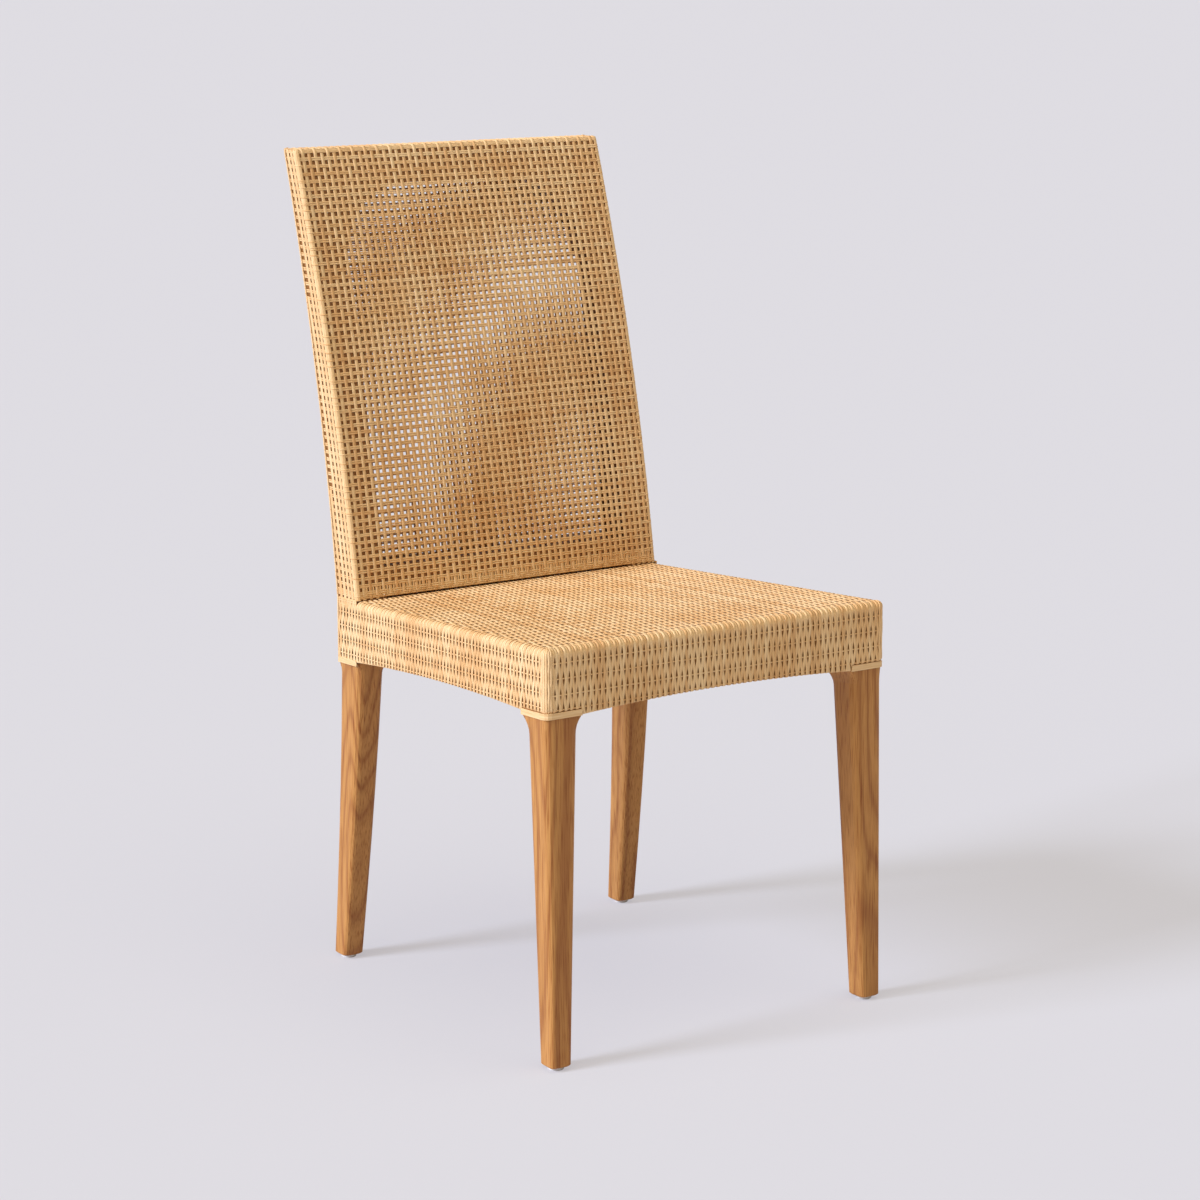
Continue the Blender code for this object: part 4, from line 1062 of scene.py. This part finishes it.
def scaled_place(tree, scale):
    return add_node(tree, "Mapping", {"Vector": own_place(tree), "Scale": scale}).outputs[0]


def new_material(name):
    material = bpy.data.materials.new(name)
    material.use_nodes = True
    tree = material.node_tree
    return material, tree, tree.nodes["Principled BSDF"]


def woven_cane_material():
    """Peeled rattan cane, woven and left natural.

    Each strand has its own straw tone, with fine streaks along it and a few brown growth marks.
    """
    material, tree, shader = new_material("woven_rattan_cane_natural")
    along, across, tone = (
        add_node(tree, "Attribute", attribute_name=name).outputs["Fac"]
        for name in ("along", "across", "tone")
    )
    on_strand = add_node(tree, "CombineXYZ", {"X": along, "Y": across, "Z": tone}).outputs[0]
    streak_at, mark_at = (
        add_node(tree, "VectorMath", {0: on_strand, 1: scale}, operation='MULTIPLY').outputs[0]
        for scale in ((55, 2.2, 60), (24, 0, 90))
    )
    streaks = noise(tree, streak_at, 4, roughness=0.6)
    shade = calculate(tree, 'MULTIPLY_ADD', tone, 0.34, 0.06)
    shade = calculate(tree, 'MULTIPLY_ADD', streaks, 0.55, shade)
    # The low tones of the underlay and edge fill, which are painted shade, fall at the dark end of
    # this ramp.
    base = ramp(tree, shade, [
        (0.02, "8A6238"), (0.14, "CB965B"), (0.45, "E7BC83"), (0.85, "F5D6A4"),
    ])
    patches = noise(tree, own_place(tree), 3, scale=11)
    patch_tint = ramp(tree, patches, [(0.30, "F2E6D6"), (0.65, "FFFFFF")])
    base = mix_colours(tree, 1, base, patch_tint, 'MULTIPLY')
    mark_share = ramp(tree, noise(tree, mark_at, 2), [(0.70, "000000"), (0.80, "8C8C8C")])
    set_inputs(tree, shader, {
        "Base Color": mix_colours(tree, mark_share, base, hex_colour("8A5A2C")),
        "Roughness": spread(tree, streaks, new_low=0.40, new_high=0.62),
        "IOR": 1.5, "Specular IOR Level": 0.35, "Normal": bump(tree, streaks, 0.35),
    })
    return material


def smooth_cane_material(name, stretch):
    """Split cane with its glossy skin outwards, laid flat: paler, with long fine streaks."""
    material, tree, shader = new_material(name)
    streaks = noise(tree, scaled_place(tree, stretch), 4, roughness=0.6)
    set_inputs(tree, shader, {
        "Base Color": ramp(tree, streaks, [(0.25, "D3A368"), (0.50, "E4BB82"), (0.80, "EFCC99")]),
        "Roughness": 0.42, "Normal": bump(tree, streaks, 0.3),
    })
    return material


def teak_material():
    """Sanded and oiled teak: honey brown, with darker rings cut lengthwise and fine pores.

    Where the cane hides the frame the wood is painted dark, as painted shade under the cane.
    """
    material, tree, shader = new_material("oiled_teak_sanded")
    parts = add_node(tree, "SeparateXYZ", {"Vector": own_place(tree)})
    across = calculate(tree, 'MULTIPLY', parts.outputs["X"], RING_PITCH)
    body = noise(tree, scaled_place(tree, (11, 11, 1.5)), 1.5)
    rings = calculate(tree, 'SINE', calculate(tree, 'MULTIPLY_ADD', body, RING_WAVER, across))
    ring_share = spread(tree, rings, -1, 1)
    base = ramp(tree, ring_share, [(0, "A56C37"), (0.22, "B47C41"), (0.9, "BF8749")])
    pores = noise(tree, scaled_place(tree, (900, 900, 22)), 3)
    pore_tint = ramp(tree, pores, [(0.30, "CDB398"), (0.52, "FFFFFF")])
    base = mix_colours(tree, 1, base, pore_tint, 'MULTIPLY')
    # Painted shade: above the cane's lower edge the frame is darkened to stand for the shade under
    # the cane.
    level = calculate(tree, 'MULTIPLY_ADD', parts.outputs["Y"], seat_slope, parts.outputs["Z"])
    edge = APRON_BOTTOM + seat_slope * seat_front_y
    painted_shade_under_cane = spread(tree, level, *(edge + height for height in PAINTED_SHADE_FADE))
    set_inputs(tree, shader, {
        "Base Color": mix_colours(tree, painted_shade_under_cane, base, hex_colour("8C5C2E")),
        "Roughness": 0.48, "Specular IOR Level": 0.25, "Normal": bump(tree, pores, 0.15),
    })
    return material


def plain_material(name, low, high, scale, roughness, metallic):
    """A finish that is even but for a slight cloudiness."""
    material, tree, shader = new_material(name)
    clouds = noise(tree, scaled_place(tree, scale), 3)
    set_inputs(tree, shader, {
        "Base Color": ramp(tree, clouds, [(0.3, low), (0.7, high)]),
        "Roughness": roughness, "Metallic": metallic,
    })
    return material


def dress_nodes(material, names):
    for name in names:
        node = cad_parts[name]
        node.data.materials.clear()
        node.data.materials.append(material)


def dress_frame():
    """New finishes for the frame's own pieces, which keep their shape."""
    corners = [f"{end}_{side}" for _, end in FACINGS for _, side in SIDES]
    blocks = [f"{corner}_corner_block" for corner in corners]
    legs = [f"{corner}_leg" for corner in corners]
    rails = [f"{name}_seat_rail" for _, name in FACINGS + SIDES]
    dress_nodes(teak_material(), legs + rails + ["back_top_rail", "back_lower_rail"])
    # Planed beech: pale and pinkish, with a fine short grain.
    dress_nodes(plain_material("planed_beech", "C49A70", "D6B08A", (60, 60, 400), 0.6, 0), blocks)
    # Moulded nylon: off-white and waxy.
    dress_nodes(
        plain_material("moulded_nylon", "DAD6CC", "E4E1D9", (200, 200, 200), 0.4, 0),
        [f"{corner}_foot_glide" for corner in corners],
    )
    # Zinc-plated steel: grey, bright and slightly clouded.
    dress_nodes(
        plain_material("zinc_plated_steel", "A9ADB0", "C6CACC", (300, 300, 300), 0.3, 1),
        [f"{block}_screw_{index}" for block in blocks for index in (0, 1)],
    )
    dress_nodes(
        smooth_cane_material("smooth_cane_upright", (700, 700, 14)),
        [f"back_{corner}_corner_cane" for corner in corners],
    )
    dress_nodes(
        smooth_cane_material("smooth_cane_level", (25, 25, 900)),
        [f"{corner}_leg_trim" for corner in corners],
    )


# Studio

FLOOR_SIZE = 60
FLOOR_DROP = 0.0002  # how far it lies below the glides
BACKGROUND = "DCDBE1"
WORLD_STRENGTH = 0.147
WORLD_COLOUR = (1, 0.92, 0.72, 1)
# Where each lamp shines from, how wide it is in degrees, its strength and its colour
LAMPS = {
    "window_light": ((-0.86, 0.10, 0.50), 17, 4.4, (0.71, 0.775, 1)),
    "high_left_light": ((-0.72, -0.22, 0.66), 55, 0.68, (1, 0.92, 0.73)),
    "overhead_light": ((0, -0.25, 0.97), 60, 0.95, (1, 0.94, 0.76)),
    "right_fill_light": ((0.55, -0.40, 0.73), 60, 0.29, (1, 0.92, 0.72)),
}
SENSOR_WIDTH = 36
LENS = 98.372
CAMERA_PLACE = (-2.09717, -3.13461, 1.22687)
CAMERA_ANGLES = (34.2357, 11.6232, -0.0816)  # yaw, pitch and roll, in degrees


def make_stage():
    bm = bmesh.new()
    bmesh.ops.create_grid(bm, x_segments=1, y_segments=1, size=FLOOR_SIZE)
    bmesh.ops.translate(bm, verts=bm.verts, vec=(0, 0, -FLOOR_DROP))
    material, tree, shader = new_material("matt_pale_floor")
    # A matt sweep lit from within: the glow keeps it pale where the chair shades it.
    tree.nodes.remove(shader)
    bounce, shaded, glow = (
        add_node(tree, kind, {"Color": hex_colour(colour)}).outputs[0] for kind, colour in (
            ("BsdfDiffuse", "DCDBE0"), ("BsdfDiffuse", "8A8A8A"), ("Emission", "B2AFB5"),
        )
    )
    path = add_node(tree, "LightPath").outputs["Is Camera Ray"]
    seen = add_node(tree, "AddShader", {0: shaded, 1: glow}).outputs[0]
    both = add_node(tree, "MixShader", {0: path, 1: bounce, 2: seen}).outputs[0]
    set_inputs(tree, tree.nodes["Material Output"], {"Surface": both})
    floor = add_mesh("studio_floor", bm, material)


def make_light():
    world = bpy.data.worlds.new("studio")
    bpy.context.scene.world = world
    world.use_nodes = True
    tree = world.node_tree
    tree.nodes.clear()
    light, seen = (
        add_node(tree, "Background", {"Color": colour, "Strength": strength}).outputs[0]
        for colour, strength in ((WORLD_COLOUR, WORLD_STRENGTH), (hex_colour(BACKGROUND), 1))
    )
    path = add_node(tree, "LightPath").outputs
    shown = calculate(tree, 'MAXIMUM', path["Is Camera Ray"], path["Is Glossy Ray"])
    mixed = add_node(tree, "MixShader", {0: shown, 1: light, 2: seen}).outputs[0]
    add_node(tree, "OutputWorld", {"Surface": mixed})

    for name, (towards, width, strength, colour) in LAMPS.items():
        lamp = bpy.data.lights.new(name, 'SUN')
        lamp.energy = strength
        lamp.angle = math.radians(width)
        lamp.color = colour
        turn = Vector(towards).to_track_quat('Z', 'Y')
        add_object(name, lamp).rotation_euler = turn.to_euler()


def make_camera():
    """The photograph's point of view, in front of the chair, to its left and above."""
    camera_data = bpy.data.cameras.new("camera")
    camera_data.sensor_width = SENSOR_WIDTH
    camera_data.lens = LENS
    camera = add_object("camera", camera_data)
    yaw, pitch, roll = (math.radians(angle) for angle in CAMERA_ANGLES)
    turn = Matrix.Rotation(-yaw, 4, 'Z') @ Matrix.Rotation(math.pi / 2 - pitch, 4, 'X')
    camera.matrix_world = (
        Matrix.Translation(CAMERA_PLACE) @ turn @ Matrix.Rotation(roll, 4, 'Z')
    )
    bpy.context.scene.camera = camera


def build_scene():
    woven = woven_cane_material()
    dress_frame()
    for make_weave in (
        make_front_and_top, make_seat_underlay, make_sides, make_front_corners, make_rear_apron,
        make_uprights, make_foot_strands, make_back_cross, make_corner_wraps, make_back_top,
        make_back_sides,
    ):
        make_weave(woven)
    make_stage()
    make_light()
    make_camera()
    bpy.context.scene.view_settings.view_transform = 'Standard'


build_scene()
